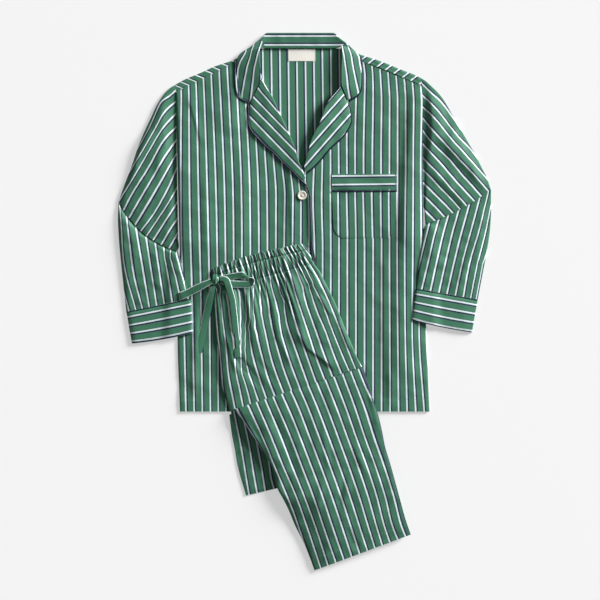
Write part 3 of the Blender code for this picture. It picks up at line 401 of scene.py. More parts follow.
# Yarn-dyed cotton poplin: plain weave, washed and pressed, so a matt face with a faint bloom at a slant
def wovenCotton(name, bands, look):
    made, tree = newMaterial(name)
    place = addNode(tree, "ShaderNodeUVMap", uv_map="stripes")
    parts = addNode(tree, "ShaderNodeSeparateXYZ", {"Vector": place.outputs["UV"]})
    share = addNode(tree, "ShaderNodeMath", {0: parts.outputs["X"]}, operation="FRACT")
    ramp = addNode(tree, "ShaderNodeValToRGB", {"Fac": share.outputs["Value"]})
    setBands(ramp.color_ramp, bands)
    # The dye is uneven in slubs about 1 mm wide and 12 mm long
    slub = addNode(tree, "ShaderNodeMapping", {
        "Vector": place.outputs["UV"], "Scale": (9.0, 0.7, 1.0)})
    uneven = addNode(tree, "ShaderNodeTexNoise", {
        "Vector": slub.outputs["Vector"], "Scale": 2.0, "Detail": 3.0})
    gain = addNode(tree, "ShaderNodeMapRange", {
        "Value": uneven.outputs["Fac"], "From Min": 0.25, "From Max": 0.75,
        "To Min": 1.0 - look["mottle"], "To Max": 1.0 + look["mottle"]})
    dyed = addNode(tree, "ShaderNodeVectorMath", {
        "Vector": ramp.outputs["Color"], "Scale": gain.outputs["Result"]}, operation="SCALE")
    waves = []
    for axis in ("X", "Y"):
        phase = addNode(tree, "ShaderNodeMath", {
            0: parts.outputs[axis], 1: look["threads"] * 2.0 * math.pi}, operation="MULTIPLY")
        waves.append(addNode(tree, "ShaderNodeMath", {0: phase.outputs["Value"]}, operation="SINE"))
    weave = addNode(tree, "ShaderNodeMath", {
        0: waves[0].outputs["Value"], 1: waves[1].outputs["Value"]}, operation="MULTIPLY")
    relief = addNode(tree, "ShaderNodeBump", {
        "Height": weave.outputs["Value"], "Strength": look["bump"], "Distance": 0.0002})
    finishShader(tree, **{
        "Base Color": dyed.outputs["Vector"], "Normal": relief.outputs["Normal"],
        "Roughness": 0.58, "Specular IOR Level": 0.28, "Sheen Weight": 0.05, "Sheen Roughness": 0.5})
    return made


# Satin-covered cord: long floats of thread, so it gives a soft narrow highlight along its top
def satinCord(name, code):
    made, tree = newMaterial(name)
    place = addNode(tree, "ShaderNodeUVMap", uv_map="stripes")
    slant = addNode(tree, "ShaderNodeMapping", {
        "Vector": place.outputs["UV"], "Rotation": (0.0, 0.0, 0.6), "Scale": (3.0, 22.0, 1.0)})
    # Threads 0.4 mm apart along the cord, drawn coarser than the real ones
    twist = addNode(tree, "ShaderNodeTexWave", {
        "Vector": slant.outputs["Vector"], "Scale": 1.0, "Distortion": 0.6})
    relief = addNode(tree, "ShaderNodeBump", {
        "Height": twist.outputs["Fac"], "Strength": 0.15, "Distance": 0.0002})
    finishShader(tree, **{
        "Base Color": colour(code), "Normal": relief.outputs["Normal"],
        "Roughness": 0.5, "Specular IOR Level": 0.4})
    return made


# Mother-of-pearl button: cut and polished, so it is glossy, with clouds about 8 mm across
def pearlFace(name, code):
    made, tree = newMaterial(name)
    place = addNode(tree, "ShaderNodeTexCoord")
    cloud = addNode(tree, "ShaderNodeTexNoise", {
        "Vector": place.outputs["Object"], "Scale": 130.0, "Detail": 2.0})
    gain = addNode(tree, "ShaderNodeMapRange", {
        "Value": cloud.outputs["Fac"], "To Min": 0.86, "To Max": 1.08})
    tone = addNode(tree, "ShaderNodeVectorMath", {
        "Vector": colour(code)[:3], "Scale": gain.outputs["Result"]}, operation="SCALE")
    finishShader(tree, **{
        "Base Color": tone.outputs["Vector"], "Roughness": 0.22,
        "Coat Weight": 0.4, "Coat Roughness": 0.1})
    return made


# Woven damask label: faintly ribbed, with the ribs drawn 1.4 mm apart, coarser than the real ones
def wovenLabel(name, code):
    made, tree = newMaterial(name)
    place = addNode(tree, "ShaderNodeTexCoord")
    ribs = addNode(tree, "ShaderNodeTexWave", {
        "Vector": place.outputs["Object"], "Scale": 220.0, "Distortion": 0.3}, bands_direction="Y")
    relief = addNode(tree, "ShaderNodeBump", {
        "Height": ribs.outputs["Fac"], "Strength": 0.2, "Distance": 0.0001})
    finishShader(tree, **{
        "Base Color": colour(code), "Normal": relief.outputs["Normal"], "Roughness": 0.7})
    return made


# Spun polyester thread: dull, a shade off the cloth
def sewingThread(name, code):
    made, tree = newMaterial(name)
    finishShader(tree, **{"Base Color": colour(code), "Roughness": 0.6})
    return made


stripes = wovenCotton("StripedPoplin", poplin["bands"], poplin)
tieBands = (
    (0.0, poplin["navy"]), (0.05, poplin["green"]), (0.86, poplin["grey"]), (0.92, poplin["white"]),
)
tieCloth = wovenCotton("TiePoplin", tieBands, poplin)
loopBands = (
    (0.0, poplin["white"]), (0.06, poplin["green"]), (0.86, poplin["grey"]), (0.92, poplin["white"]),
)
loopCloth = wovenCotton("LoopPoplin", loopBands, poplin)
navyPiping = satinCord("NavyPiping", "#141F36")
pearl = pearlFace("ButtonPearl", "#DDD8CB")
labelCloth = wovenLabel("BareLabel", "#E6E2DA")
greenThread = sewingThread("GreenThread", "#3F6E55")
paleThread = sewingThread("PaleThread", "#D8DDD6")
print("materials made")


# Shirt: shared lines

hemY = -220.0
frontEdge = (  # y, x
    (230, 7.5), (209, 10.5), (173, 11.5), (143, 13), (113, 15), (90, 19), (60, 22), (0, 23), (hemY, 23),
)
leftSide = (  # y, x
    (433, -258.5), (103, -249.5), (20, -252.5), (-69, -254), (-117, -253), (-167, -251), (hemY, -249),
)
rightSide = (  # y, x
    (446, 235), (155, 238), (60, 240.5), (-45, 243), (-77, 245), (-157, 247), (hemY, 250),
)
leftShoulder = (  # x, fold y, seam y
    (-258.5, 433, 418.5), (-249, 439, 423), (-233, 447, 431), (-215, 454, 440), (-199, 461, 448),
    (-183, 469, 456), (-165, 475, 465), (-143, 482, 476), (-123, 494, 486),
)
rightShoulder = (  # x, fold y, seam y
    (95, 501, 488), (111, 494, 481), (133, 487, 474), (151, 481, 467), (169, 474, 460),
    (185, 467, 453), (203, 460, 445), (219, 454, 439), (235, 446, 431),
)
leftFrontRows = (  # side y, inner x, inner y
    (418, -123, 485.5), (395, -108, 468), (360, -95, 446), (325, -76, 420), (283, -56, 380),
    (243, -35.5, 340), (203, -19.5, 298), (163, -6, 260), (133, 3, 238), (103, 8.3, 209),
    (65, 9.6, 172), (15, 13, 115), (-35, 19.5, 62), (-85, 21, 0), (-130, 21, -80),
    (-172, 21, -150), (hemY, 21, hemY),
)
rightFrontRows = (  # side y, inner x, inner y
    (430.5, 95, 487.5), (410, 84, 462), (375, 73, 432), (335, 50, 402), (295, 34, 362),
    (255, 18, 329), (215, 6, 291), (185, -2, 267), (155, -12, 240), (115, -19, 205),
    (70, -19, 165), (20, -15, 113), (-35, -8, 60), (-80, -7, 0), (-125, -7, -70),
    (-170, -7, -140), (hemY, -7, hemY),
)
shirtFolds = (  # left half width, right half width, height, sharpness, crest
    (19, 66, 2.9, 0.2, (216, 444), (215, 351), (207, 270), (203, 191), (199, 80)),
    (44, 66, 3.4, 0.1, (206, 240), (203, 170), (197, 60), (191, -75), (188, -217)),
    (6, 14, 1.0, 0.5, (-231, 408), (-205, 313)),
    (60, 30, 2.6, 0.1, (-140, 472), (-150, 320)),
    (20, 22, 1.3, 0.2, (-125, 310), (-123, 90)),
    (16, 24, 1.1, 0.2, (-33, 262), (-33, 90)),
    (26, 20, 0.9, 0.2, (163, 246), (163, 100)),
    (12, 14, 0.9, 0.3, (171, -130), (173, -219)),
    (14, 12, 1.7, 0.2, (-213, 40), (-221, -216)),
    (14, 16, 1.2, 0.3, (160, 110), (158, -120)),
    (12, 18, 1.0, 0.3, (-200, 250), (-196, 80)),
)
armholeRidges = (  # where the left front puffs up beside its armhole seam: y, height
    (433, 1.0), (410, 3.4), (330, 6.4), (260, 9.0), (215, 8.8), (170, 8.2), (120, 9.0), (95, 6.4),
    (60, 1.6), (hemY, 0.0),
)
shirtTop = {
    "ripples": ((46.0, 0.4, 11), (19.0, 0.12, 12)),
    "lift": 0.4,
    "pressed": 0.85,        # share of the folds that the trousers press flat
    # Outline of the trousers over it: -y, x, then -y, x, then x, y
    "coveredLeft": ((-63, -185), (-3, -183), (77, -176), (137, -168), (221, -151)),
    "coveredRight": ((-116, -3), (-59, 31), (33, 73), (131, 116), (227, 147)),
    "coveredTop": ((-185, 63), (-140, 88), (-90, 99), (-40, 109), (-3, 116)),
}


# Share of its folds that the shirt keeps where the trousers press it
def openShirt(x, y):
    left = readTable(shirtTop["coveredLeft"], -y)
    right = readTable(shirtTop["coveredRight"], -y)
    waist = readTable(shirtTop["coveredTop"], x)
    covered = easeStep((x - left - 8.0) / 24.0) * easeStep((right - 8.0 - x) / 24.0)
    return 1.0 - shirtTop["pressed"] * (covered * easeStep((waist - 6.0 - y) / 20.0))


def bodyFolds(x, y):
    soft = foldHeight(shirtFolds, x, y) + ripples(x, y, shirtTop["ripples"]) + shirtTop["lift"]
    return soft * openShirt(x, y) + hemStep(y - hemY, 0.5, 0.35)


def leftFrontTop(x, y):
    pastLap = x - (readTable(frontEdge, y) - cloth["lapWidth"])
    belowNeck = np.clip((cloth["lapTop"] - y) / cloth["lapFade"], 0.0, 1.0)
    rise = cloth["lapRise"] * easeStep(pastLap / 6.0) * belowNeck
    return cloth["frontTop"] + rise + bodyFolds(x, y)


def rightFrontTop(x, y):
    return cloth["frontTop"] + bodyFolds(x, y)


# Back panel

back = {
    "columns": 110,
    "rows": 130,
    "top": 1.15,
    "dip": 0.25,            # how far the panel's own level lies below that top
    "wall": 0.75,
    "ripples": ((60.0, 0.12, 21),),
    "shoulderEnds": (-258.2, 234.7),
    "neckEdge": [(-95, 506.0), (77, 506.0)],
    "stripePeriod": 17.0,
    "stripeStart": -81.0,   # x of a white stripe at y = 300, and how far the stripes lean
    "stripeLean": 0.012,
    "flat": (0.52, 0.76),
    "area": 0.345,
}


def makeBack():
    edge = [(x, fold) for x, fold, seam in leftShoulder] + back["neckEdge"]
    edge += [(x, fold) for x, fold, seam in rightShoulder]
    across = evenShares(back["columns"])
    up = np.linspace(1.0, 0.0, back["rows"])[:, None]
    start, end = back["shoulderEnds"]
    topY = readTable(edge, start + (end - start) * across)
    y = hemY + (topY - hemY) * up
    left = readTable(leftSide, y) + cloth["sideInset"]
    right = readTable(rightSide, y) - cloth["sideInset"]
    x = left + (right - left) * across
    z = np.minimum(back["top"] - back["dip"] + ripples(x, y, back["ripples"]), back["top"])
    u = -(x - back["stripeStart"] + back["stripeLean"] * (y - 300.0)) / back["stripePeriod"]
    addPanel("ShirtBack", "shirt_back", asPoints(x, y, z), [(0, u, stripeRun(y))],
             dict(flat=back["flat"], held="laid", area=back["area"]), wall=back["wall"])


makeBack()


# Yokes: the strips that come over the shoulders

yokes = {
    "columns": 60,
    "rows": 14,
    "leftStripes": (  # where each white stripe meets the seam: x, y
        (-251, 429), (-238, 435), (-221, 441), (-204, 447), (-187, 457), (-170, 463), (-152, 470),
        (-136, 478),
    ),
    "rightStripes": (
        (111, 481), (128, 476), (145, 469), (162, 463), (179, 456), (196, 448), (213, 442), (229, 434),
    ),
    "lift": 0.35,           # over the fronts
    "foldDrop": 1.9,        # how far the fold rounds down, and over how many mm
    "foldRound": 6.0,
    "seamRidge": 0.35,
    "ripples": ((14.0, 0.12, 31),),
    "flat": (0.142, 0.0145),
}


# The slant is the way that a stripe takes up over the shoulder from its place on the seam
def makeYoke(name, node, shoulder, places, slant):
    across = evenShares(yokes["columns"])
    down = evenShares(yokes["rows"])[:, None]
    line = alongRows([row[:2] for row in shoulder], across)
    x = np.clip(line[:, 0], shoulder[0][0] + 0.3, shoulder[-1][0] - 0.3)[None, :] + 0.0 * down
    fold = readTable(shoulder, x, 1)
    seam = readTable(shoulder, x, 2) - 0.5
    y = fold + (seam - fold) * down
    drop = yokes["foldDrop"] * (1.0 - roundEdge(fold - y, yokes["foldRound"]))
    z = cloth["frontTop"] + yokes["lift"] - drop
    z = z + ripples(x, y, yokes["ripples"]) + yokes["seamRidge"] * softRidge(y - seam - 2.0, 3.0)
    guides = [(k, (a + slant[0], b + slant[1]), (a, b)) for k, (a, b) in enumerate(places)]
    addPanel(name, node, asPoints(x, y, z), [(0, stripeField(guides)(x, y), stripeRun(x))],
             dict(flat=yokes["flat"], held="folded"))


makeYoke("YokeLeft", "yoke_left", leftShoulder, yokes["leftStripes"], (-12, 5))
makeYoke("YokeRight", "yoke_right", rightShoulder, yokes["rightStripes"], (9, 7))
print("back and yokes made")


# Fronts

fronts = {
    "leftColumns": 104,
    "rightColumns": 100,
    "rows": 215,
    "ridgeStart": 6.0,      # mm from the armhole seam to the ridge beside it, and its width
    "ridgeWidth": 190.0,
    "leftRidge": 1.0,       # share of that ridge on each front
    "rightRidge": 0.15,
    "seamDrop": 1.2,        # how far a front rounds down at its side, and over how many mm
    "seamRound": 4.5,
    "flat": (0.30, 0.72),
    "leftArea": 0.17,
    "rightArea": 0.165,
}
leftFrontStripes = (  # stripe number, line of its white
    (0, (-246, 413), (-247, 223), (-240, -77), (-237, -217)),
    (3, (-202, 447), (-200, 403), (-194, 223), (-192, 143), (-188, -217)),
    (7, (-134, 403), (-126, 223), (-125, 113), (-125, -217)),
    (10, (-80, 311), (-75, 223), (-74, 113), (-75, -217)),
    (13, (-28, 259), (-23, 213), (-24, 113), (-25, -217)),
    (15, (3, 229), (8, 203), (9, 113), (9, -217)),
)
rightFrontStripes = (
    (0, (19, 273), (17, 203), (20, 103), (19, -217)),
    (3, (68, 323), (69, 203), (69, 103), (69, -217)),
    (6, (118, 477), (121, 447), (120, 403), (118, 283), (120, 103), (120, -57), (120, -217)),
    (8, (151, 463), (154, 403), (153, 283), (154, 103), (154, -57), (154, -217)),
    (10, (183, 451), (186, 403), (186, 283), (185, 103), (186, -57), (188, -217)),
    (11, (202, 403), (202, 283), (200, 103), (201, -57), (205, -217)),
    (13, (232, 431), (234, 403), (232, 283), (233, 103), (229, -57), (239, -217)),
)


def makeFront(name, node, rows, side, top, guides, leftHand):
    key = "left" if leftHand else "right"
    line = alongRows(rows, evenShares(fronts["rows"]))
    across = evenShares(fronts[key + "Columns"])
    sideX = readTable(side, line[:, 0]) + (cloth["sideInset"] if leftHand else -cloth["sideInset"])
    x = sideX[:, None] + (line[:, 1] - sideX)[:, None] * across
    y = line[:, 0:1] + (line[:, 2] - line[:, 0])[:, None] * across
    if not leftHand:
        x = x[:, ::-1]
        y = y[:, ::-1]
    fromSide = (x - readTable(side, y)) if leftHand else (readTable(side, y) - x)
    beside = softRidge(np.maximum(fromSide - fronts["ridgeStart"], 0.0), fronts["ridgeWidth"])
    ridge = readTable(armholeRidges, y) * beside * fronts[key + "Ridge"]
    rounding = 1.0 - roundEdge(fromSide, fronts["seamRound"] + 0.3 * ridge)
    z = top(x, y) + ridge - (fronts["seamDrop"] + ridge) * rounding
    rest = ["ShirtBack", "FrontRight"] if leftHand else ["ShirtBack"]
    cut = dict(flat=fronts["flat"], held="laid", rests_on=rest, area=fronts[key + "Area"])
    addStriped(name, node, x, y, z, guides, cut)


makeFront("FrontRight", "front_right", rightFrontRows, rightSide, rightFrontTop, rightFrontStripes, False)
makeFront("FrontLeft", "front_left", leftFrontRows, leftSide, leftFrontTop, leftFrontStripes, True)
print("fronts made")


# Sleeves and cuffs

sleeves = {
    "ringsUpper": 84,
    "ringsLower": 66,
    "top": 62,
    "bottom": 22,
    "foldedHeight": 4.0,    # height at the folded edges
    # Width of the rise from the outer edge: y, width
    "leftReach": ((433, 60), (380, 44), (330, 34), (270, 22), (150, 12), (-30, 12)),
    "rightReach": ((446, 60), (160, 60), (120, 36), (-30, 30)),
    # Share of the rise lost towards the armhole: y, share
    "leftFall": ((433, 0.1), (370, 0.3), (300, 0.6), (250, 0.85), (120, 0.85), (60, 0.0), (-30, 0.0)),
    "rightFall": ((446, 0.0), (-30, 0.0)),
    "crownLift": 0.6,
    "leftInset": 14.0,      # how far from its outer and its inner edge a sleeve's folds begin
    "rightInset": 24.0,
    "innerInset": 14.0,
    "leftSink": 9.0,        # how far from the armhole seam a sleeve has risen to its full height
    "rightSink": 20.0,
    "leftSinkEnd": (100.0, 12.0),   # y where that sinking ends, and the mm that it takes
    "rightSinkEnd": (282.0, 34.0),
    "leftArmpit": 101.0,    # y below which a sleeve may lie over the body's side
    "rightArmpit": 153.0,
    "bodyHeight": 3.3,
    "elbowRoll": (0.0, 0.42, 0.62, 0.8, 0.92),  # rise of the forearm's first rings from the crease
    "elbowLow": 2.4,
    "upperRipples": ((30.0, 0.5, 41), (13.0, 0.12, 42)),
    "forearmRipples": ((30.0, 0.5, 43), (13.0, 0.12, 44)),
    "flat": (0.36, 0.42),
    "leftArea": 0.086,
    "rightArea": 0.093,
}
cuffs = {
    "rings": 34,
    "top": 46,
    "bottom": 20,
    "softness": 0.35,       # share of the ripples that the stiffer cuff keeps
    "band": 0.45,
    "ripples": ((30.0, 0.5, 47), (13.0, 0.12, 48)),
    "stripeStart": 9.6,
    "stripePeriod": 16.9,
    "flat": (0.27, 0.067),
}
leftUpperArm = (  # outer x, y, inner x, y, bow towards the wrist, crown
    (-257.6, 433, -252.6, 130, 0, 3.0),
    (-264, 430, -253, 128, 0.6, 3.4),
    (-273, 423, -253, 125, 1.5, 5.6),
    (-289, 403, -251.9, 119, 4, 9.4),
    (-309, 363, -251.2, 114, 7, 10.4),
    (-329, 319, -251, 110, 10, 9.8),
    (-347, 267, -251.4, 106, 13, 8.0),
    (-363, 225, -252.3, 103.5, 16, 6.2),
    (-371, 201.5, -253.4, 100.5, 18, 4.0),
)
leftForearm = (
    (-371.6, 199.5, -253.2, 99, 18, 6.6),
    (-373, 167, -249, 87, 14, 7.4),
    (-371, 123, -245, 71, 9, 7.4),
    (-367, 79, -241, 51, 5, 6.8),
    (-362, 33, -238, 27, 2, 6.2),
    (-356.2, -20.6, -228.8, 5.8, 0, 4.8),
)
rightUpperArm = (
    (234.1, 446, 237.3, 190, 0, 3.0),
    (241, 442, 238.6, 187, 0.4, 3.0),
    (249, 435, 239.8, 183, 1, 4.6),
    (271, 413, 240.1, 176, 2, 5.8),
    (301, 363, 240.4, 170, 3, 6.0),
    (327, 319, 240.7, 165, 4, 5.6),
    (351, 275, 241.2, 161, 5, 5.4),
    (367, 241, 241.6, 158, 6, 4.2),
    (372.8, 223.5, 241.2, 154, 6, 3.2),
)
rightForearm = (
    (373, 221.5, 240.4, 152.5, 6, 6.0),
    (373, 183, 236, 135, 5, 6.2),
    (371, 143, 233, 107, 4, 6.0),
    (365, 103, 229, 83, 3, 5.8),
    (357, 59, 226, 55, 1.5, 5.6),
    (346.4, 4.0, 223, 26, 0, 4.6),
)
leftCuffRows = (
    (-355.9, -22.0, -228.2, 4.2, 0, 4.8),
    (-354.5, -29, -226.6, -3, 0, 5.9),
    (-350, -56, -225, -32, 1, 5.9),
    (-345, -84, -224, -63, 2.5, 5.2),
)
rightCuffRows = (
    (346.1, 2.6, 222.7, 24.4, 0, 4.8),
    (344.9, -5, 221.4, 17, 0, 5.9),
    (340, -32, 217.5, -8, 1, 5.9),
    (335, -62, 214, -37, 2, 5.2),
)
leftSleeveFolds = (
    (14, 26, 1.9, 0.2, (-305, 352), (-338, 292), (-369, 223)),
    (32, 18, 1.6, 0.2, (-265, 226), (-270, 180), (-281, 118)),
    (12, 18, 1.1, 0.3, (-322, 330), (-352, 262)),
    (10, 14, 1.0, 0.3, (-270, 330), (-300, 262)),
    (9, 14, 1.3, 0.3, (-258, 96), (-246, 52)),
    (10, 16, 1.2, 0.3, (-345, 150), (-338, 60)),
    (14, 18, 1.0, 0.2, (-300, 110), (-290, 20)),
)
rightSleeveFolds = (
    (20, 80, 2.9, 0.2, (262, 345), (277, 322), (301, 299), (327, 271), (351, 247), (380, 214)),
    (13, 40, 1.6, 0.3, (243, 270), (271, 243), (301, 214), (330, 180)),
    (18, 34, 3.0, 0.1, (249, 424), (256, 385), (258, 350), (252, 310), (240, 268)),
    (26, 34, 1.8, 0.2, (262, 158), (264, 60)),
    (12, 12, 1.0, 0.3, (335, 110), (304, 20)),
    (14, 16, 1.0, 0.3, (356, 190), (345, 60)),
)
leftUpperStripes = (
    (0, (-269, 411), (-283, 403), (-291, 389), (-309, 349), (-323, 323)),
    (1, (-259, 398), (-279, 379), (-299, 343), (-329, 291), (-347, 263)),
    (2, (-259, 373), (-279, 351), (-309, 303), (-349, 235), (-367, 207)),
    (3, (-259, 346), (-277, 327), (-309, 271), (-349, 207), (-359, 187)),
    (4, (-257, 321), (-279, 289), (-309, 237), (-327, 207), (-347, 173)),
    (5, (-257, 293), (-277, 257), (-305, 209), (-335, 159)),
    (6, (-255, 267), (-273, 225), (-305, 169), (-325, 143)),
    (7, (-255, 227), (-267, 205), (-293, 165), (-313, 135)),
    (8, (-255, 197), (-279, 159), (-301, 125)),
    (9, (-253, 167), (-269, 143), (-283, 119)),
    (10, (-253, 137), (-269, 109)),
)
leftForearmStripes = (
    (0, (-370, 203), (-366, 153), (-361, 79), (-337, -17)),
    (1, (-358, 189), (-350, 123), (-339, 43), (-324, -13)),
    (2, (-337, 149), (-325, 79), (-310, -11)),
    (3, (-318, 137), (-307, 67), (-295, -9)),
    (4, (-299, 123), (-289, 53), (-280, -5)),
    (5, (-283, 115), (-279, 91), (-271, 43), (-264, -1)),
    (6, (-267, 107), (-268, 87), (-259, 57), (-248, 5)),
    (7, (-256, 101), (-250, 73), (-235, 19)),
)
rightUpperStripes = (
    (0, (255, 415), (271, 401), (291, 375), (311, 346)),
    (-1, (245, 403), (271, 375), (291, 349), (311, 325), (331, 305), (343, 289)),
    (-2, (237, 388), (251, 375), (271, 353), (291, 327), (311, 305), (331, 283), (363, 247)),
    (-3, (237, 365), (251, 347), (271, 325), (291, 303), (311, 281), (331, 261), (369, 219)),
    (-4, (237, 341), (251, 321), (271, 301), (291, 282), (311, 257), (331, 235), (355, 208)),
    (-5, (235, 317), (251, 298), (271, 277), (291, 253), (311, 231), (341, 199)),
    (-6, (235, 289), (251, 271), (271, 251), (291, 227), (311, 205), (323, 192)),
    (-7, (233, 267), (251, 249), (271, 227), (291, 207), (309, 187)),
    (-8, (233, 241), (251, 223), (271, 203), (287, 187)),
    (-9, (233, 217), (251, 199), (263, 187)),
    (-10, (235, 187), (251, 171)),
)
rightForearmStripes = (
    (9, (356, 75), (343, 5)),
    (8, (371, 185), (362, 140), (347, 80), (332, 7)),
    (7, (367, 217), (348, 140), (330, 80), (317, 9)),
    (6, (349, 203), (332, 140), (316, 80), (301, 11)),
    (5, (329, 193), (314, 140), (299, 80), (284, 13)),
    (4, (309, 185), (296, 140), (282, 80), (268, 16)),
    (3, (289, 177), (278, 140), (264, 80), (251, 20)),
    (2, (269, 166), (261, 140), (247, 80), (234, 25)),
    (1, (250, 158), (245, 140), (235, 100), (230, 80)),
)


# Underside of a sleeve: on the surface, and up onto the body where it crosses its side
def underSleeve(x, y, leftHand):
    climb = sleeves["bodyHeight"] * easeStep((34.0 - pastSide(x, y, leftHand)) / 22.0)
    return np.where(y > sleeves["leftArmpit" if leftHand else "rightArmpit"], 0.0, climb)


def pastSide(x, y, leftHand):
    return (readTable(leftSide, y) - x) if leftHand else (x - readTable(rightSide, y))


# Rings of a flattened tube: across the top from its outer to its inner edge, and back below.
# The look gives the points across its top and bottom, and softness each ring's share of the folds
def sleeveRings(rows, leftHand, look, folds, uneven, softness):
    table = alongRows(rows, evenShares(len(softness)), plan=(0, 1, 2, 3))
    key = "left" if leftHand else "right"
    sinkEnd, sinkFade = sleeves[key + "SinkEnd"]
    rings = []
    for number, (outerX, outerY, innerX, innerY, bow, crown) in enumerate(table):
        across = np.array((innerX - outerX, innerY - outerY))
        width = np.linalg.norm(across)
        normal = np.array((across[1], -across[0])) / width * (1.0 if leftHand else -1.0)
        parts = []
        topShares = edgeSpaced(look["top"], width)
        bottomShares = edgeSpaced(look["bottom"], width)[::-1][1:-1]
        for points, isTop in ((topShares, True), (bottomShares, False)):
            x = outerX + across[0] * points + normal[0] * bow * 4.0 * points * (1.0 - points)
            y = outerY + across[1] * points + normal[1] * bow * 4.0 * points * (1.0 - points)
            low = underSleeve(x, y, leftHand)
            height = sleeves["foldedHeight"]
            rounding = roundEdge(np.minimum(points, 1.0 - points) * width, 1.8)
            if isTop:
                # Fullest near the outer edge, and lower towards the armhole
                reach = readTable(sleeves[key + "Reach"], y)
                full = np.sin(0.5 * np.pi * np.clip(points * width / reach, 0.0, 1.0))
                full = full * roundEdge((1.0 - points) * width, 8.0)
                fall = readTable(sleeves[key + "Fall"], y) * easeStep((points - 0.2) / 0.62)
                rise = (crown + sleeves["crownLift"] - height) * full * (1.0 - fall)
                soft = foldHeight(folds, x, y) + ripples(x, y, uneven)
                inward = easeStep(points * width / sleeves[key + "Inset"])
                inward = inward * easeStep((1.0 - points) * width / sleeves["innerInset"])
                rise = rise + soft * inward * softness[number]
                sunk = 1.0 - easeStep((pastSide(x, y, leftHand) + 2.0) / sleeves[key + "Sink"])
                sunk = sunk * easeStep((y - sinkEnd) / sinkFade)
                rise = rise - sunk * (rise + 0.9)
                z = low + height * 0.5 + height * 0.5 * rounding + rise
            else:
                z = low + height * 0.5 - (height * 0.5 - 0.1) * rounding
            parts.append(asPoints(x, y, z))
        rings.append(np.vstack(parts))
    return np.array(rings)


def makeSleeve(name, node, upper, forearm, upperGuides, forearmGuides, folds, leftHand):
    first = evenShares(sleeves["ringsUpper"])
    second = evenShares(sleeves["ringsLower"])
    # The folds fade at both ends of each half, not wholly above the elbow
    softUpper = easeStep(first / 0.06) * (0.25 + 0.75 * easeStep((1.0 - first) / 0.06))
    softLower = easeStep(second / 0.03) * easeStep((1.0 - second) / 0.05)
    upperRings = sleeveRings(upper, leftHand, sleeves, folds, sleeves["upperRipples"], softUpper)
    lowerRings = sleeveRings(forearm, leftHand, sleeves, folds, sleeves["forearmRipples"], softLower)
    low = sleeves["elbowLow"]
    top = slice(0, sleeves["top"])
    for k, share in enumerate(sleeves["elbowRoll"]):
        lowerRings[k, top, 2] = low + (lowerRings[k, top, 2] - low) * share
    rings = np.concatenate([upperRings, lowerRings])
    x, y, _ = np.moveaxis(rings, -1, 0)
    run = stripeRun(y)
    parts = [(0, stripeField(upperGuides)(x, y), run)]
    parts += [(len(upperRings) - 1, stripeField(forearmGuides)(x, y), run)]
    area = sleeves["leftArea" if leftHand else "rightArea"]
    addPanel(name, node, rings, parts, dict(flat=sleeves["flat"], held="folded", area=area), closedRound=True)


def makeCuff(name, node, rows, leftHand):
    softness = np.full(cuffs["rings"], cuffs["softness"])
    rings = sleeveRings(rows, leftHand, cuffs, (), cuffs["ripples"], softness)
    share = evenShares(cuffs["rings"])
    step = cuffs["band"] * (1.0 - easeStep((share - 0.93) / 0.07)) * easeStep(share / 0.04)
    rings[:, :cuffs["top"], 2] += step[:, None]
    length = 0.5 * (np.hypot(rows[-1][0] - rows[0][0], rows[-1][1] - rows[0][1])
                    + np.hypot(rows[-1][2] - rows[0][2], rows[-1][3] - rows[0][3]))
    count = (share * length - cuffs["stripeStart"]) / cuffs["stripePeriod"]
    parts = [(0, np.tile(count[:, None], (1, rings.shape[1])), stripeRun(rings[..., 0]))]
    addPanel(name, node, rings, parts, dict(flat=cuffs["flat"], held="folded"), closedRound=True)


makeSleeve("SleeveLeft", "sleeve_left", leftUpperArm, leftForearm, leftUpperStripes, leftForearmStripes,
           leftSleeveFolds, True)
makeSleeve("SleeveRight", "sleeve_right", rightUpperArm, rightForearm, rightUpperStripes, rightForearmStripes,
           rightSleeveFolds, False)
makeCuff("CuffLeft", "cuff_left", leftCuffRows, True)
makeCuff("CuffRight", "cuff_right", rightCuffRows, False)
print("sleeves and cuffs made")


# Collar and lapels

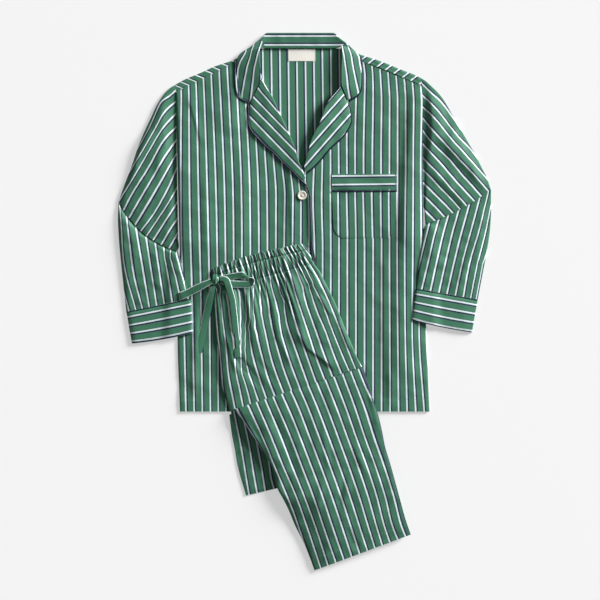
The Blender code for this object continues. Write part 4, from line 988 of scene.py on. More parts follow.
flaps = {
    "along": 110,
    "across": 30,
    "below": 10,
    "topEdge": (0.0, 0.15, 0.5, 1.1, 2.0),  # mm from an edge to its close rows, above and below
    "underEdge": (0.0, 0.5, 2.0),
    "roll": 1.1,            # radius of the fold at the neck, and of the free edges
    "collarEdge": 2.2,
    "lapelEdge": 2.0,
    "sag": 0.9,             # how straight a flap falls from its roll to its free edge
    "ripple": (24.0, 0.28),
    "gap": 0.4,             # between a lapel and the front under it
    "lapelThickness": 1.6,
    "standRows": (8, 14),   # rows between which the stripes lie level across the back of the neck
    "standStripe": 530.0,   # y of a white stripe there, and the stripes' distance
    "standPeriod": 17.5,
    "collarFlat": (0.36, 0.042),
    "lapelCuts": {  # flat size, area
        "LapelLeft": ((0.235, 0.055), 0.0091),
        "LapelRight": ((0.21, 0.05), 0.0072),
    },
}
collarRows = (  # inner x, y, outer x, y, inner top, inner under, outer top, outer under
    (-85.5, 447.5, -109.2, 399.0, 12.2, 3.5, 5.0, 3.5),
    (-87, 456, -118, 402, 12.6, 3.5, 5.0, 3.5),
    (-88, 469, -131.5, 411.5, 13.0, 3.5, 5.0, 3.5),
    (-89, 481, -136.5, 437, 13.0, 3.5, 5.0, 3.5),
    (-89, 493, -137.5, 459, 12.6, 3.5, 5.2, 3.5),
    (-89.5, 503, -136, 479.5, 11.6, 3.5, 5.8, 3.5),
    (-88, 508, -131.5, 491.5, 9.6, 2.0, 7.2, 3.0),
    (-84, 507, -109, 508, 6.6, 0.1, 9.6, 2.0),
    (-76, 505.6, -88, 525, 5.2, 0.1, 9.4, 0.1),
    (-60, 505.3, -74, 537, 5.0, 0.1, 8.6, 0.1),
    (-20, 505.3, -24, 537, 5.0, 0.1, 8.6, 0.1),
    (20, 505.3, 22, 537, 5.0, 0.1, 8.6, 0.1),
    (46, 505.3, 57, 537, 5.0, 0.1, 8.6, 0.1),
    (60, 505.6, 71, 526, 5.2, 0.1, 9.4, 0.1),
    (69, 508, 84, 516, 7.0, 0.1, 9.6, 2.0),
    (73, 511, 101.5, 499.5, 10.6, 2.0, 7.2, 3.0),
    (74, 503, 111, 489.3, 12.8, 3.5, 7.2, 3.5),
    (74, 489, 113.2, 472, 14.0, 3.5, 7.2, 3.5),
    (73.5, 473, 113.8, 452, 14.0, 3.5, 7.2, 3.5),
    (73, 457, 113.2, 429.5, 14.0, 3.5, 7.2, 3.5),
    (73, 444, 105, 412.2, 13.6, 3.5, 7.2, 3.5),
    (74, 432, 86.5, 402.2, 12.8, 3.5, 7.2, 3.5),
)
leftWingStripes = (
    (2, (-117, 499), (-129, 477), (-134, 453), (-134, 441)),
    (1, (-99, 519), (-105, 503), (-111, 479), (-119, 447), (-124, 419)),
    (0, (-89, 507), (-93, 493), (-99, 473), (-102, 449), (-105, 423), (-108, 401)),
)
rightWingStripes = (
    (0, (74, 517), (79, 487), (84, 453), (87, 423), (90, 407)),
    (1, (85, 515), (91, 499), (96, 473), (102, 443), (107, 421)),
    (2, (103, 499), (109, 487), (110, 477)),
)
leftLapelRows = (  # roll x, y, roll height, edge x, y
    (-84.5, 443.5, 10.6, -108.6, 396.2), (-73, 423, 9.4, -110.2, 377), (-61, 403, 8.6, -110.2, 358.6),
    (-51, 379, 8.4, -104.2, 341.2), (-41, 359, 8.2, -91, 326), (-33, 341, 8.0, -77, 312),
    (-23, 317, 7.9, -59, 296.5), (-17, 299, 7.8, -44, 280.5), (-11, 279, 7.8, -29, 267),
    (-4, 263, 7.7, -16, 254), (2, 246, 7.4, -4, 242),
)
rightLapelRows = (
    (72, 428.5, 13.0, 84.8, 398.8), (60, 415, 14.4, 91.2, 381.8), (47, 399, 15.4, 92.2, 360.8),
    (38, 379, 15.6, 83, 340), (31, 359, 15.4, 67, 322), (23, 343, 14.8, 51, 307.4),
    (15, 327, 13.6, 39, 293.4), (9, 307, 12.0, 26, 278), (4, 289, 9.8, 15, 267), (-1, 270, 7.0, 4, 259),
)
leftLapelStripes = (
    (4, (-87, 445), (-73, 423)),
    (3, (-92, 425), (-57, 383)),
    (2, (-101, 407), (-37, 341)),
    (1, (-108, 392), (-21, 303)),
    (0, (-111, 371), (-3, 259)),
)
rightLapelStripes = (
    (0, (71, 427), (47, 399)),
    (1, (77, 411), (31, 359)),
    (2, (85, 393), (9, 307)),
    (3, (89, 371), (-4, 265)),
)


# Sections of a flap that rolls over at its inner side and lies down towards a free edge
def flapRings(table, edgeRound, seed):
    rings = []
    for innerX, innerY, outerX, outerY, innerTop, innerUnder, outerTop, outerUnder in table:
        length = math.hypot(outerX - innerX, outerY - innerY)
        parts = []
        topShares = edgeSpaced(flaps["across"], length, flaps["topEdge"])
        underShares = edgeSpaced(flaps["below"], length, flaps["underEdge"])[::-1][1:-1]
        for share, isTop in ((topShares, True), (underShares, False)):
            x = innerX + (outerX - innerX) * share
            y = innerY + (outerY - innerY) * share
            under = innerUnder + (outerUnder - innerUnder) * share
            top = outerTop + (innerTop - outerTop) * (1.0 - share) ** flaps["sag"]
            roundness = roundEdge(share * length, flaps["roll"])
            roundness = roundness * roundEdge((1.0 - share) * length, edgeRound)
            middle = under + 0.45 * (top - under)
            if isTop:
                soft = (ripples(x, y, ((*flaps["ripple"], seed),)) + 0.1) * easeStep(share * length / 8.0)
                z = middle + (top + soft - middle) * roundness
            else:
                z = middle - (middle - under) * roundness
            parts.append(asPoints(x, y, z))
        rings.append(np.vstack(parts))
    return np.array(rings)


def makeCollar():
    plan = (0, 1, 2, 3)
    steps = np.linalg.norm(np.diff(np.array(collarRows, float)[:, :4], axis=0), axis=1)
    shares = np.concatenate([[0.0], np.cumsum(steps)]) / steps.sum()
    breaks = [shares[row] for row in flaps["standRows"]]
    at = evenShares(flaps["along"])
    first, second = [int(np.argmin(np.abs(at - b))) for b in breaks]
    at[first], at[second] = breaks
    rings = flapRings(alongRows(collarRows, at, plan), flaps["collarEdge"], 51)
    x, y, _ = np.moveaxis(rings, -1, 0)
    wingLeft = stripeField(leftWingStripes)(x, y)
    wingRight = stripeField(rightWingStripes)(x, y)
    # Across the back of the neck the stripes lie level, with navy above each white
    stand = (y - flaps["standStripe"]) / flaps["standPeriod"]
    run = stripeRun(x - y)
    parts = [(0, wingLeft, run), (first, stand, stripeRun(x)), (second, wingRight, run)]
    mesh = gridMesh("Collar", rings, parts, closedRound=True, capped=True)
    piece = addPiece("Collar", mesh, stripes)
    cut = dict(flat=flaps["collarFlat"], held="folded", rests_on=["FrontLeft", "FrontRight"])
    register(piece, "collar", cut)


def makeLapel(name, node, rows, top, guides, front, seed):
    line = alongRows(rows, evenShares(flaps["along"]), (0, 1, 3, 4))
    rollX, rollY, rollTop, edgeX, edgeY = line.T
    underRoll = np.maximum(top(rollX, rollY), top(rollX - 4.0, rollY)) + flaps["gap"]
    underEdge = np.maximum(top(edgeX, edgeY), top(edgeX + 5.0, edgeY)) + flaps["gap"]
    # A lapel that rolls high is also thicker at its edge
    edgeTop = underEdge + flaps["lapelThickness"] + 0.25 * np.maximum(rollTop - 9.0, 0.0)
    table = np.stack([rollX, rollY, edgeX, edgeY, rollTop, underRoll, edgeTop, underEdge], axis=1)
    rings = flapRings(table, flaps["lapelEdge"], seed)
    x, y, _ = np.moveaxis(rings, -1, 0)
    parts = [(0, stripeField(guides)(x, y), stripeRun(x + y))]
    piece = addPiece(name, gridMesh(name, rings, parts, closedRound=True, capped=True), stripes)
    flat, area = flaps["lapelCuts"][name]
    register(piece, node, dict(flat=flat, held="folded", rests_on=[front], area=area))


makeCollar()
makeLapel("LapelLeft", "lapel_left", leftLapelRows, leftFrontTop, leftLapelStripes, "FrontLeft", 52)
makeLapel("LapelRight", "lapel_right", rightLapelRows, rightFrontTop, rightLapelStripes, "FrontRight", 53)
print("collar and lapels made")


# Piping in the edges of the collar, lapels, left front and cuffs

piping = {
    "radius": 1.6,
    "lift": 1.9,            # of the cord's middle over the front under it
    "cuffRadius": 1.35,
    "cuffDrop": 0.2,        # how far it sits down into the seam between sleeve and cuff
    "sides": 12,
}
collarPipingLeft = ((-138, 482), (-138.8, 459), (-138.2, 436), (-133, 410), (-121, 401), (-111.2, 397.5))
collarPipingRight = ((112.8, 490), (114.6, 472), (115.2, 452), (114.4, 429), (105.5, 410.5), (90, 401.5))
lapelPipingLeft = (
    (-112.2, 392), (-111.8, 376), (-111.8, 358), (-105.5, 340), (-92, 324.6), (-78, 310.6), (-60, 295.2),
    (-45, 279.2), (-30, 265.4), (-17, 252.4), (-5, 240), (4.5, 230.5), (9, 219), (10.8, 205), (11.7, 173),
    (13.2, 143), (15.2, 113), (19.2, 90), (22.2, 60), (23.2, 0), (23.2, -90), (23.2, hemY + 1),
)
lapelPipingRight = (
    (87.4, 397), (93, 381), (93.6, 360), (84, 338.4), (68.4, 320.6), (52.4, 306), (40.4, 292),
    (27.4, 276.6), (16.4, 265.6), (6, 257),
)


def addPiping(name, node, points, radius):
    register(tubePiece(name, points, radius, piping["sides"], navyPiping), node)


def layPiping(name, node, line, top, count):
    points = alongRows(line, evenShares(count))
    z = top(points[:, 0], points[:, 1]) + piping["lift"]
    addPiping(name, node, np.column_stack([points, z]), piping["radius"])


def makeCuffPiping(name, node, rows, leftHand):
    ring = sleeveRings(rows[:2], leftHand, cuffs, (), cuffs["ripples"], np.zeros(2))[0]
    points = ring[1:cuffs["top"] - 1] - np.array((0.0, 0.0, piping["cuffDrop"]))
    addPiping(name, node, points, piping["cuffRadius"])


layPiping("PipingCollarLeft", "piping_collar_left", collarPipingLeft, leftFrontTop, 46)
layPiping("PipingCollarRight", "piping_collar_right", collarPipingRight, rightFrontTop, 46)
layPiping("PipingFrontLeft", "piping_front_left", lapelPipingLeft,
          lambda x, y: leftFrontTop(x + 5.0, y), 190)
layPiping("PipingLapelRight", "piping_lapel_right", lapelPipingRight, rightFrontTop, 80)
makeCuffPiping("PipingCuffLeft", "piping_cuff_left", leftCuffRows, True)
makeCuffPiping("PipingCuffRight", "piping_cuff_right", rightCuffRows, False)


# Chest pocket

pocket = {
    "lift": 1.3,
    "columns": 70,
    "bagRows": 60,
    "bandRows": 26,
    "width": 130.0,
    "edgeDrop": 0.8,        # how far a panel rounds down to its edges, and over how many mm
    "edgeRound": 1.6,
    "seamDent": 0.35,       # depth of the dent along the seam, and its mm from the edge
    "seamInset": 2.6,
    "bandStripe": 250.5,    # y of a white stripe at the band's left end, its lean and distance
    "bandLean": 0.012,
    "bandPeriod": 17.2,
    "bandStitches": (252.6, 225.0),     # y of the band's rows of stitches, and their ends
    "bandStitchEnds": (56.0, 183.4),
    "pipingY": 220.7,
    "pipingLift": 1.6,
    "pipingRadius": 1.45,
    "pipingPoints": 50,
    "bagFlat": (0.13, 0.093),
    "bandFlat": (0.131, 0.033),
}
pocketBand = ((255, 54, 185), (222.2, 54.2, 185))   # y, left x, right x
pocketBag = ((219.6, 54.4, 185), (147, 57, 183.5), (135, 63, 176), (126, 75, 167))
stripeEnds = ((67, 68), (84, 86), (101, 103), (117, 119), (134, 136), (152, 153), (168, 169))
pocketStripes = [(k, (upper, 219), (lower, 127)) for k, (upper, lower) in enumerate(stripeEnds)]


def pocketPanel(name, node, rows, count, guides, flat):
    y = np.linspace(rows[0][0], rows[-1][0], count)[:, None]
    left = readTable(rows, y, 1)
    right = readTable(rows, y, 2)
    x = left + (right - left) * edgeSpaced(pocket["columns"], pocket["width"])
    y = y + 0.0 * x
    fromEdge = np.minimum(np.minimum(x - left, right - x),
                          np.minimum(rows[0][0] - y + 2.0, y - rows[-1][0]))
    z = rightFrontTop(x, y) + pocket["lift"]
    z = z - pocket["edgeDrop"] * (1.0 - roundEdge(fromEdge, pocket["edgeRound"]))
    z = z - pocket["seamDent"] * softRidge(fromEdge - pocket["seamInset"], 1.6)
    cut = dict(flat=flat, held="laid", rests_on=["FrontRight"])
    if guides:
        addStriped(name, node, x, y, z, guides, cut)
    else:
        lean = (x - rows[0][1]) * pocket["bandLean"]
        count = -(y - pocket["bandStripe"] - lean) / pocket["bandPeriod"]
        addPanel(name, node, asPoints(x, y, z), [(0, count, stripeRun(x))], cut)


def makePocketPiping():
    x = np.linspace(pocketBag[0][1], pocketBag[0][2], pocket["pipingPoints"])
    y = np.full(pocket["pipingPoints"], pocket["pipingY"])
    z = rightFrontTop(x, y) + pocket["pipingLift"]
    addPiping("PipingPocket", "piping_pocket", asPoints(x, y, z), pocket["pipingRadius"])


pocketPanel("PocketBag", "pocket", pocketBag, pocket["bagRows"], pocketStripes, pocket["bagFlat"])
pocketPanel("PocketBand", "pocket_band", pocketBand, pocket["bandRows"], None, pocket["bandFlat"])
makePocketPiping()
print("piping and pocket made")


# Neck label, left bare

label = {
    "size": (54.0, 24.0),
    "centre": (-5.5, 492.6),
    "thickness": 0.6,
    "height": 1.75,
    "flat": (0.054, 0.024),
}


def makeLabel():
    across = edgeSpaced(26, label["size"][0]) - 0.5
    up = (0.5 - edgeSpaced(16, label["size"][1]))[:, None]
    x = label["centre"][0] + across * label["size"][0] + 0.0 * up
    y = label["centre"][1] + up * label["size"][1] + 0.0 * across
    # It bulges a little in its middle, and climbs on to the collar's seam
    z = label["height"] + 0.35 * np.cos(across * 5.0) * 0.5 + 0.5 * easeStep((y - 500.0) / 6.0)
    mesh = gridMesh("NeckLabel", asPoints(x, y, z), [(0, stripeRun(x), stripeRun(y))])
    piece = addPiece("NeckLabel", mesh, labelCloth, wall=label["thickness"])
    cut = dict(flat=label["flat"], held="laid", rests_on=["ShirtBack"])
    register(piece, "neck_label", cut)


makeLabel()


# Buttons

buttons = {
    "radius": 9.2,
    "thickness": 3.0,
    "holeRadius": 1.0,
    "holeSpread": 2.1,
    "sides": 56,
    "holeSides": 20,
    "count": 4,
    "spacing": 126.0,
    "firstY": 212.0,
    "fromEdge": 15.0,
    "lift": 0.3,            # over the front
    "threadRadius": 0.42,
    "threadSides": 7,
    "threadPoints": 13,
}


# A turned disc with a raised rim, then four drilled holes
def buttonMesh():
    r = buttons["radius"]
    t = buttons["thickness"]
    profile = (
        (0.02, t - 0.9), (r * 0.4, t - 0.95), (r * 0.62, t - 0.85), (r * 0.70, t - 0.5), (r * 0.76, t - 0.1),
        (r * 0.84, t), (r * 0.92, t - 0.15), (r * 0.98, t * 0.75), (r, t * 0.55), (r * 0.97, t * 0.3),
        (r * 0.86, 0.05), (r * 0.5, 0.0), (0.02, 0.0),
    )
    turns = np.linspace(0.0, 2.0 * np.pi, buttons["sides"], endpoint=False)
    rings = np.array([[(a * math.cos(turn), a * math.sin(turn), z) for turn in turns] for a, z in profile])
    flat = np.zeros(rings.shape[:2])
    disc = newObject("ButtonBlank", gridMesh("ButtonBlank", rings, [(0, flat, flat)], True, True))
    drills = []
    for sx, sy in ((-1, -1), (1, -1), (1, 1), (-1, 1)):
        bpy.ops.mesh.primitive_cylinder_add(
            vertices=buttons["holeSides"], radius=buttons["holeRadius"] * mm, depth=12.0 * mm,
            location=(sx * buttons["holeSpread"] * mm, sy * buttons["holeSpread"] * mm, 0.0))
        drill = bpy.context.object
        drills.append(drill)
        cut = disc.modifiers.new("Drilled", "BOOLEAN")
        cut.object = drill
        cut.operation = "DIFFERENCE"
        cut.solver = "EXACT"
    settle(disc)
    mesh = disc.data
    bpy.data.objects.remove(disc)
    for drill in drills:
        bpy.data.objects.remove(drill)
    return mesh


def makeButtons():
    shared = buttonMesh()
    spread = buttons["holeSpread"]
    share = np.linspace(-1.0, 1.0, buttons["threadPoints"])
    for number in range(buttons["count"]):
        y = buttons["firstY"] - number * buttons["spacing"]
        x = float(readTable(frontEdge, y)) - buttons["fromEdge"]
        z = float(leftFrontTop(np.array(x), np.array(y))) + buttons["lift"]
        mesh = shared.copy()
        points = np.array([vertex.co for vertex in mesh.vertices]) + np.array((x, y, z)) * mm
        mesh.vertices.foreach_set("co", points.ravel())
        button = addPiece(f"Button{number + 1}", mesh, pearl, sharpAngle=35.0)
        register(button, f"button_{number + 1}")
        # Two threads cross in the button's hollow and dip into its holes
        arch = z + buttons["thickness"] - 0.55 - 0.9 * np.abs(share) ** 6
        for part, way in enumerate((1, -1)):
            path = np.column_stack([x + spread * share, y + way * spread * share, arch])
            thread = tubePiece(f"Button{number + 1}Thread{part + 1}", path,
                               buttons["threadRadius"], buttons["threadSides"], paleThread)
            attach(thread, "root")


makeButtons()
print("label and buttons made")


# Trousers

trousers = {
    "legTop": 10.9,
    "leftDrop": 4.4,        # how far a folded edge lies below the leg, and how wide its rounding is
    "leftRound": 22.0,
    "rightDrop": 1.4,
    "rightRound": 3.5,
    "upperLength": 286.0,   # mm from the waist to the tuck, and from the tuck to the hem
    "lowerLength": 372.0,
    "upperFold": (3.4, 9.0),        # how deep and how far a folded edge turns under itself
    "lowerFold": (3.2, 8.0),
    "overShirt": 3.0,       # height of the shirt under the trousers, and of its row of buttons
    "overButtons": 7.9,
    "gathers": 22,
    "gatherHeight": 2.9,
    "casingStitches": (16.2, 47.2),     # mm from the waist's edge
    "casingRipples": ((16.0, 0.5, 61),),
    "upperRipples": ((34.0, 0.45, 62), (15.0, 0.15, 63)),
    "tuckRipples": ((26.0, 0.6, 64),),
    "lowerRipples": ((34.0, 0.5, 65), (15.0, 0.14, 66)),
    "casingShare": 0.165,
    "casingFlat": (0.265, 0.052),
    "legFlat": (0.27, 0.25),
    "tuckFlat": (0.13, 0.18),
    "lowerFlat": (0.25, 0.37),
    "layers": 2,            # layers that show at the edges of a stack, and their grooves' depth
    "groove": 1.8,
    "tuckSink": 3.0,        # how far the tuck is pressed down beside the lower leg, on the shirt
    "tuckDrop": 4.2,        # and how much further below the hem of the shirt
    "legPuff": 9.0,         # how much higher the right half of the lower leg is towards its hem
}
upperLeft = (  # x, y from the waist to the crease of the tuck
    (-185, 63), (-185, 33), (-183, 3), (-179, -37), (-176, -77), (-171, -97), (-168, -137), (-165, -167),
    (-159, -187), (-151, -221),
)
upperRight = (
    (-3, 116), (9, 99), (17, 79), (31, 59), (41, 39), (51, 19), (63, -7), (73, -33), (85, -63),
    (95, -87), (105, -111), (115, -131),
)
tuckLeft = (  # x, y from the crease to the hidden fold
    (-151, -221), (-145, -267), (-139, -297), (-135, -321), (-129, -347), (-123, -367), (-117, -388),
)
tuckRight = ((109, -131), (116, -157), (129, -203), (145, -261), (158, -312), (162, -323))
lowerLeft = (  # x, y from the crease to the hem
    (-141, -215), (-121, -239), (-109, -259), (-93, -283), (-79, -307), (-65, -330), (-53, -375),
    (-43, -393), (-33, -413), (-19, -447), (-3, -479), (9, -507), (20, -537),
)
lowerRight = (
    (117, -131), (125, -157), (131, -177), (139, -203), (147, -227), (155, -261), (161, -291),
    (169, -317), (179, -353), (191, -397), (201, -433), (212, -465),
)
puffLine = ((0, -277), (40, -347), (78, -417), (100, -500))
lowerHeight = (  # share of the length, top of the cloth, underside
    (0.0, 14.6, 11.2), (0.02, 16.2, 11.2), (0.06, 16.8, 11.2), (0.3, 16.8, 11.2), (0.5, 16.4, 11.2),
    (0.6, 15.0, 11.2), (0.65, 12.0, 6.0), (0.7, 8.8, 0.0), (0.78, 7.0, 0.0), (1.0, 6.0, 0.0),
)
casingProfile = (  # mm below the top edge, height over the leg, from the back of the frill to the lower seam
    (4.0, -6.0), (1.6, -5.4), (0.2, -4.0), (0.0, -2.6), (1.6, -1.2), (4.0, -0.4), (8.0, 0.2), (12.5, 0.3),
    (15.4, -0.5), (16.2, -0.9), (17.2, -0.4), (21.0, 0.7), (28.0, 1.4), (36.0, 1.3), (43.0, 0.4),
    (47.2, -0.7),
)
upperFolds = (
    (20, 30, 2.7, 0.3, (-140, 44), (-141, -20), (-136, -120)),
    (15, 36, 2.7, 0.3, (-114, 40), (-110, -27), (-98, -100)),
    (34, 34, 2.6, 0.2, (-27, 72), (-16, 3), (-8, -60), (14, -100)),
    (8, 24, 2.0, 0.4, (-16, -58), (7, -93), (35, -113), (66, -140)),
    (6, 10, 1.1, 0.3, (25, 16), (55, -30)),
    (24, 46, 1.2, 0.1, (9, 70), (22, -17), (44, -100)),
    (18, 12, 1.2, 0.2, (-12, 96), (6, 60), (33, 18)),
    (14, 14, -1.6, 0.2, (-148, -95), (-120, -130), (-78, -178)),
    (9, 10, 1.2, 0.3, (-160, -60), (-132, -150)),
    (11, 13, 1.6, 0.3, (-68, 20), (-52, -70), (-20, -140)),
    (10, 14, 1.1, 0.3, (66, -30), (92, -100)),
    (12, 12, -0.9, 0.2, (-100, -110), (-60, -160)),
)
lowerFolds = (
    (17, 22, -2.4, 0.2, (-116, -226), (-88, -280), (-56, -335), (-27, -395)),
    (12, 16, -1.1, 0.3, (-70, -215), (-30, -300), (-8, -360)),
    (16, 20, 2.2, 0.2, (-98, -262), (-62, -322), (-40, -372)),
    (14, 12, 1.0, 0.2, (38, -350), (24, -418)),
    (12, 12, -1.2, 0.3, (79, -338), (69, -410)),
    (12, 14, -1.0, 0.3, (80, -448), (110, -500)),
    (10, 14, 1.0, 0.3, (35, -225), (46, -335)),
    (10, 14, 1.0, 0.3, (93, -272), (133, -368)),
    (12, 14, 0.9, 0.2, (130, -170), (150, -250)),
)
trouserStripes = (
    (0, (-175, 23), (-177, 3), (-173, -67), (-169, -101), (-163, -173)),
    (1, (-173, 37), (-167, 3), (-163, -37), (-156, -97), (-153, -137), (-139, -213)),
    (2, (-157, 37), (-150, -27), (-140, -97), (-137, -137), (-131, -167), (-123, -207)),
    (3, (-133, 25), (-128, -1), (-127, -40), (-126, -87), (-125, -143), (-117, -167), (-108, -203)),
    (4, (-119, 27), (-116, -17), (-119, -101), (-115, -131), (-103, -167), (-92, -199)),
    (5, (-112, -53), (-109, -77), (-101, -117), (-89, -157), (-76, -194)),
    (6, (-101, 43), (-103, -7), (-99, -41), (-93, -77), (-83, -117), (-73, -153), (-60, -187)),
    (7, (-105, 89), (-99, 67), (-90, 43), (-87, -7), (-84, -33), (-77, -67), (-67, -113), (-55, -149),
         (-43, -180)),
    (8, (-90, 77), (-82, 53), (-73, 3), (-69, -33), (-63, -61), (-53, -97), (-41, -137), (-27, -175)),
    (9, (-67, 33), (-59, 3), (-51, -27), (-47, -61), (-37, -97), (-25, -133), (-11, -169)),
    (10, (-68, 79), (-54, 43), (-51, 23), (-41, 3), (-40, -17), (-35, -47), (-23, -81), (-9, -121),
          (6, -163)),
    (11, (-59, 99), (-55, 79), (-39, 43), (-35, 19), (-29, -3), (-19, -41), (-7, -77), (5, -111),
          (22, -159)),
    (12, (-49, 99), (-37, 77), (-29, 53), (-23, 29), (-13, -1), (-3, -31), (9, -67), (23, -111), (39, -153)),
    (13, (-21, 71), (-5, 33), (1, 3), (11, -27), (25, -67), (37, -101), (55, -149)),
    (14, (9, 33), (17, 3), (25, -21), (41, -57), (55, -97), (73, -143)),
    (15, (-23, 103), (-11, 87), (1, 69), (21, 23), (35, -3), (51, -47), (71, -97), (89, -139)),
    (16, (7, 79), (21, 57), (47, 3), (61, -31), (81, -83), (101, -133)),
)
lowerStripes = (
    (1, (-133, -219), (-121, -240), (-101, -270), (-84, -300)),
    (2, (-111, -210), (-84, -270), (-59, -330), (-34, -390)),
    (3, (-92, -210), (-66, -270), (-42, -330), (-16, -390), (5, -450), (33, -534)),
    (4, (-79, -194), (-47, -270), (-24, -330), (0, -390), (22, -450), (48, -531)),
    (5, (-63, -189), (-28, -270), (-5, -330), (18, -390), (38, -450), (64, -525)),
    (7, (-28, -177), (-13, -210), (10, -270), (33, -330), (55, -390), (75, -450), (96, -515)),
    (9, (6, -165), (25, -210), (48, -270), (70, -330), (91, -390), (110, -450), (127, -502)),
    (11, (41, -155), (63, -210), (85, -270), (107, -330), (127, -390), (144, -450), (156, -489)),
    (13, (75, -143), (100, -210), (120, -270), (142, -330), (161, -390), (176, -450), (187, -477)),
    (14, (91, -137), (119, -210), (138, -270), (159, -330), (178, -390), (194, -450), (202, -470)),
    (15, (107, -134), (126, -180), (134, -195), (145, -215), (159, -250), (175, -300)),
)
tuckStripes = (
    (0, (-119, -337), (-115, -361), (-111, -385)),
    (1, (-117, -257), (-109, -297), (-103, -337), (-95, -381)),
    (2, (-92, -301), (-85, -337), (-79, -377)),
    (3, (-67, -353), (-61, -375)),
)


# Place between a left and a right line (x, y, and the width there)
def betweenLines(leftLine, rightLine, across, down):
    left = alongRows(leftLine, down)
    right = alongRows(rightLine, down)
    at = left + (right - left) * np.asarray(across)[..., None]
    return at[..., 0], at[..., 1], np.linalg.norm(right - left, axis=-1)


def upperPlace(across, down):
    x, y, width = betweenLines(upperLeft, upperRight, across, down)
    # The waist bows upwards between its ends
    bow = 7.0 * (1.0 - easeStep(down / 0.25)) * np.sin(np.pi * np.clip(across, 0.0, 1.0) ** 0.7)
    return x, y + bow, width


def lowerPlace(across, down):
    return betweenLines(lowerLeft, lowerRight, across, down)


# How high the shirt and its buttons stand under the trousers
def underTrousers(x, y):
    overButtons = easeStep((x + 92.0) / 30.0) * easeStep((92.0 - x) / 30.0)
    height = trousers["overShirt"] + (trousers["overButtons"] - trousers["overShirt"]) * overButtons
    return height * shirtShare(y)


def shirtShare(y):
    return 1.0 - easeStep((hemY - 16.0 - y) / 30.0)


def edgeRounding(across, width):
    left = 1.0 - roundEdge(np.maximum(across, 0.0) * width, trousers["leftRound"])
    right = 1.0 - roundEdge(np.maximum(1.0 - across, 0.0) * width, trousers["rightRound"])
    return np.maximum(trousers["leftDrop"] * left, trousers["rightDrop"] * right)


def gatherHeight(across, down):
    # The gathers are uneven: their spacing drifts and each has its own height
    count = trousers["gathers"] * across + 0.35 * np.sin(11.0 * across + 1.0) + 0.25 * np.sin(29.0 * across)
    ridge = 0.5 - 0.5 * np.cos(2.0 * np.pi * count)
    uneven = 0.72 + 0.28 * np.sin(9.0 * across + 4.0) * np.cos(23.0 * across)
    reach = 0.42 + 0.22 * np.sin(17.0 * across + 2.0) + 0.12 * np.sin(41.0 * across)
    fade = 1.0 - easeStep((down - 0.12) / reach)
    pucker = 0.35 * np.sin(2.0 * np.pi * 2.0 * count + 1.3) * (1.0 - easeStep((down - 0.12) / 0.16))
    return (trousers["gatherHeight"] * uneven * ridge * fade + pucker) * bothEnds(across, 0.05)


# Adds columns that carry a folded edge round and back under itself, always clear of the shirt
def withFolds(x, y, z, fold):
    depth, reach = fold
    turns = np.radians((35.0, 70.0, 110.0, 150.0))
    columns = {"left": [], "right": []}
    for key, edge, inner in (("left", 0, 6), ("right", -1, -7)):
        way = np.stack([x[:, inner] - x[:, edge], y[:, inner] - y[:, edge]], axis=1)
        way /= np.linalg.norm(way, axis=1)[:, None]
        for turn in turns:
            move = reach * (1.0 - np.cos(turn)) * 0.5
            columns[key].append((x[:, edge] + way[:, 0] * move, y[:, edge] + way[:, 1] * move,
                                 z[:, edge] - depth * (0.5 - 0.5 * np.cos(turn))))
    sides = []
    for axis, middle in enumerate((x, y, z)):
        left = [column[axis][:, None] for column in columns["left"][::-1]]
        right = [column[axis][:, None] for column in columns["right"]]
        sides.append(np.hstack(left + [middle] + right))
    x, y, z = sides
    return x, y, np.maximum(z, trousers["overShirt"] * shirtShare(y) + cloth["wall"] + 0.1)


def makeCasing():
    columns = 300
    across = evenShares(columns)[None, :]
    profile = alongRows(casingProfile, evenShares(56))
    fromEdge = profile[:, 0:1]
    lift = profile[:, 1:2]
    down = fromEdge / trousers["upperLength"] + 0.0 * across
    x, y, width = upperPlace(across + 0.0 * down, down)
    upperSeam, lowerSeam = trousers["casingStitches"]
    pinch = 1.0 - 0.55 * softRidge(fromEdge - upperSeam, 3.5) - 0.45 * softRidge(fromEdge - lowerSeam, 4.0)
    frill = ripples(x, y, trousers["casingRipples"]) * easeStep((16.0 - fromEdge) / 8.0)
    z = trousers["legTop"] - edgeRounding(across, width) + lift
    z = z + gatherHeight(across, down) * pinch + frill
    wave = 1.1 * np.sin(2.0 * np.pi * trousers["gathers"] * across + 0.6)
    y = y + wave * easeStep((9.0 - fromEdge) / 9.0) * 0.6
    x, y, z = withFolds(x, y, z, trousers["upperFold"])
    cut = dict(flat=trousers["casingFlat"], held="gathered", rests_on=["TrouserLayersUpper"])
    addStriped("WaistCasing", "waist_casing", x, y, z, trouserStripes, cut)


def creaseDip(down):
    return 1.3 * easeStep((down - 0.84) / 0.16)


def upperTop(x, y, across, down, width):
    soft = foldHeight(upperFolds, x, y) + ripples(x, y, trousers["upperRipples"])
    soft = soft * easeStep((1.0 - down) / 0.05) * easeStep(np.minimum(across, 1.0 - across) * width / 9.0)
    level = trousers["legTop"] - edgeRounding(across, width)
    return level + gatherHeight(across, down) + soft - creaseDip(down)


def makeUpperLeg():
    across = evenShares(236)[None, :]
    start = trousers["casingShare"] + 0.0005
    down = np.linspace(start, 0.997, 130)[:, None] + 0.0 * across
    x, y, width = upperPlace(across + 0.0 * down, down)
    seam = -0.7 * (1.0 - easeStep((down - start) / 0.012))
    pinch = 1.0 - 0.45 * (1.0 - easeStep((down - start) / 0.016))
    z = upperTop(x, y, across, down, width)
    z = z + seam + (pinch - 1.0) * gatherHeight(across, down)
    x, y, z = withFolds(x, y, z, trousers["upperFold"])
    cut = dict(flat=trousers["legFlat"], held="folded", rests_on=["TrouserLayersUpper"])
    addStriped("TrouserLegUpper", "trouser_leg_upper", x, y, z, trouserStripes, cut)


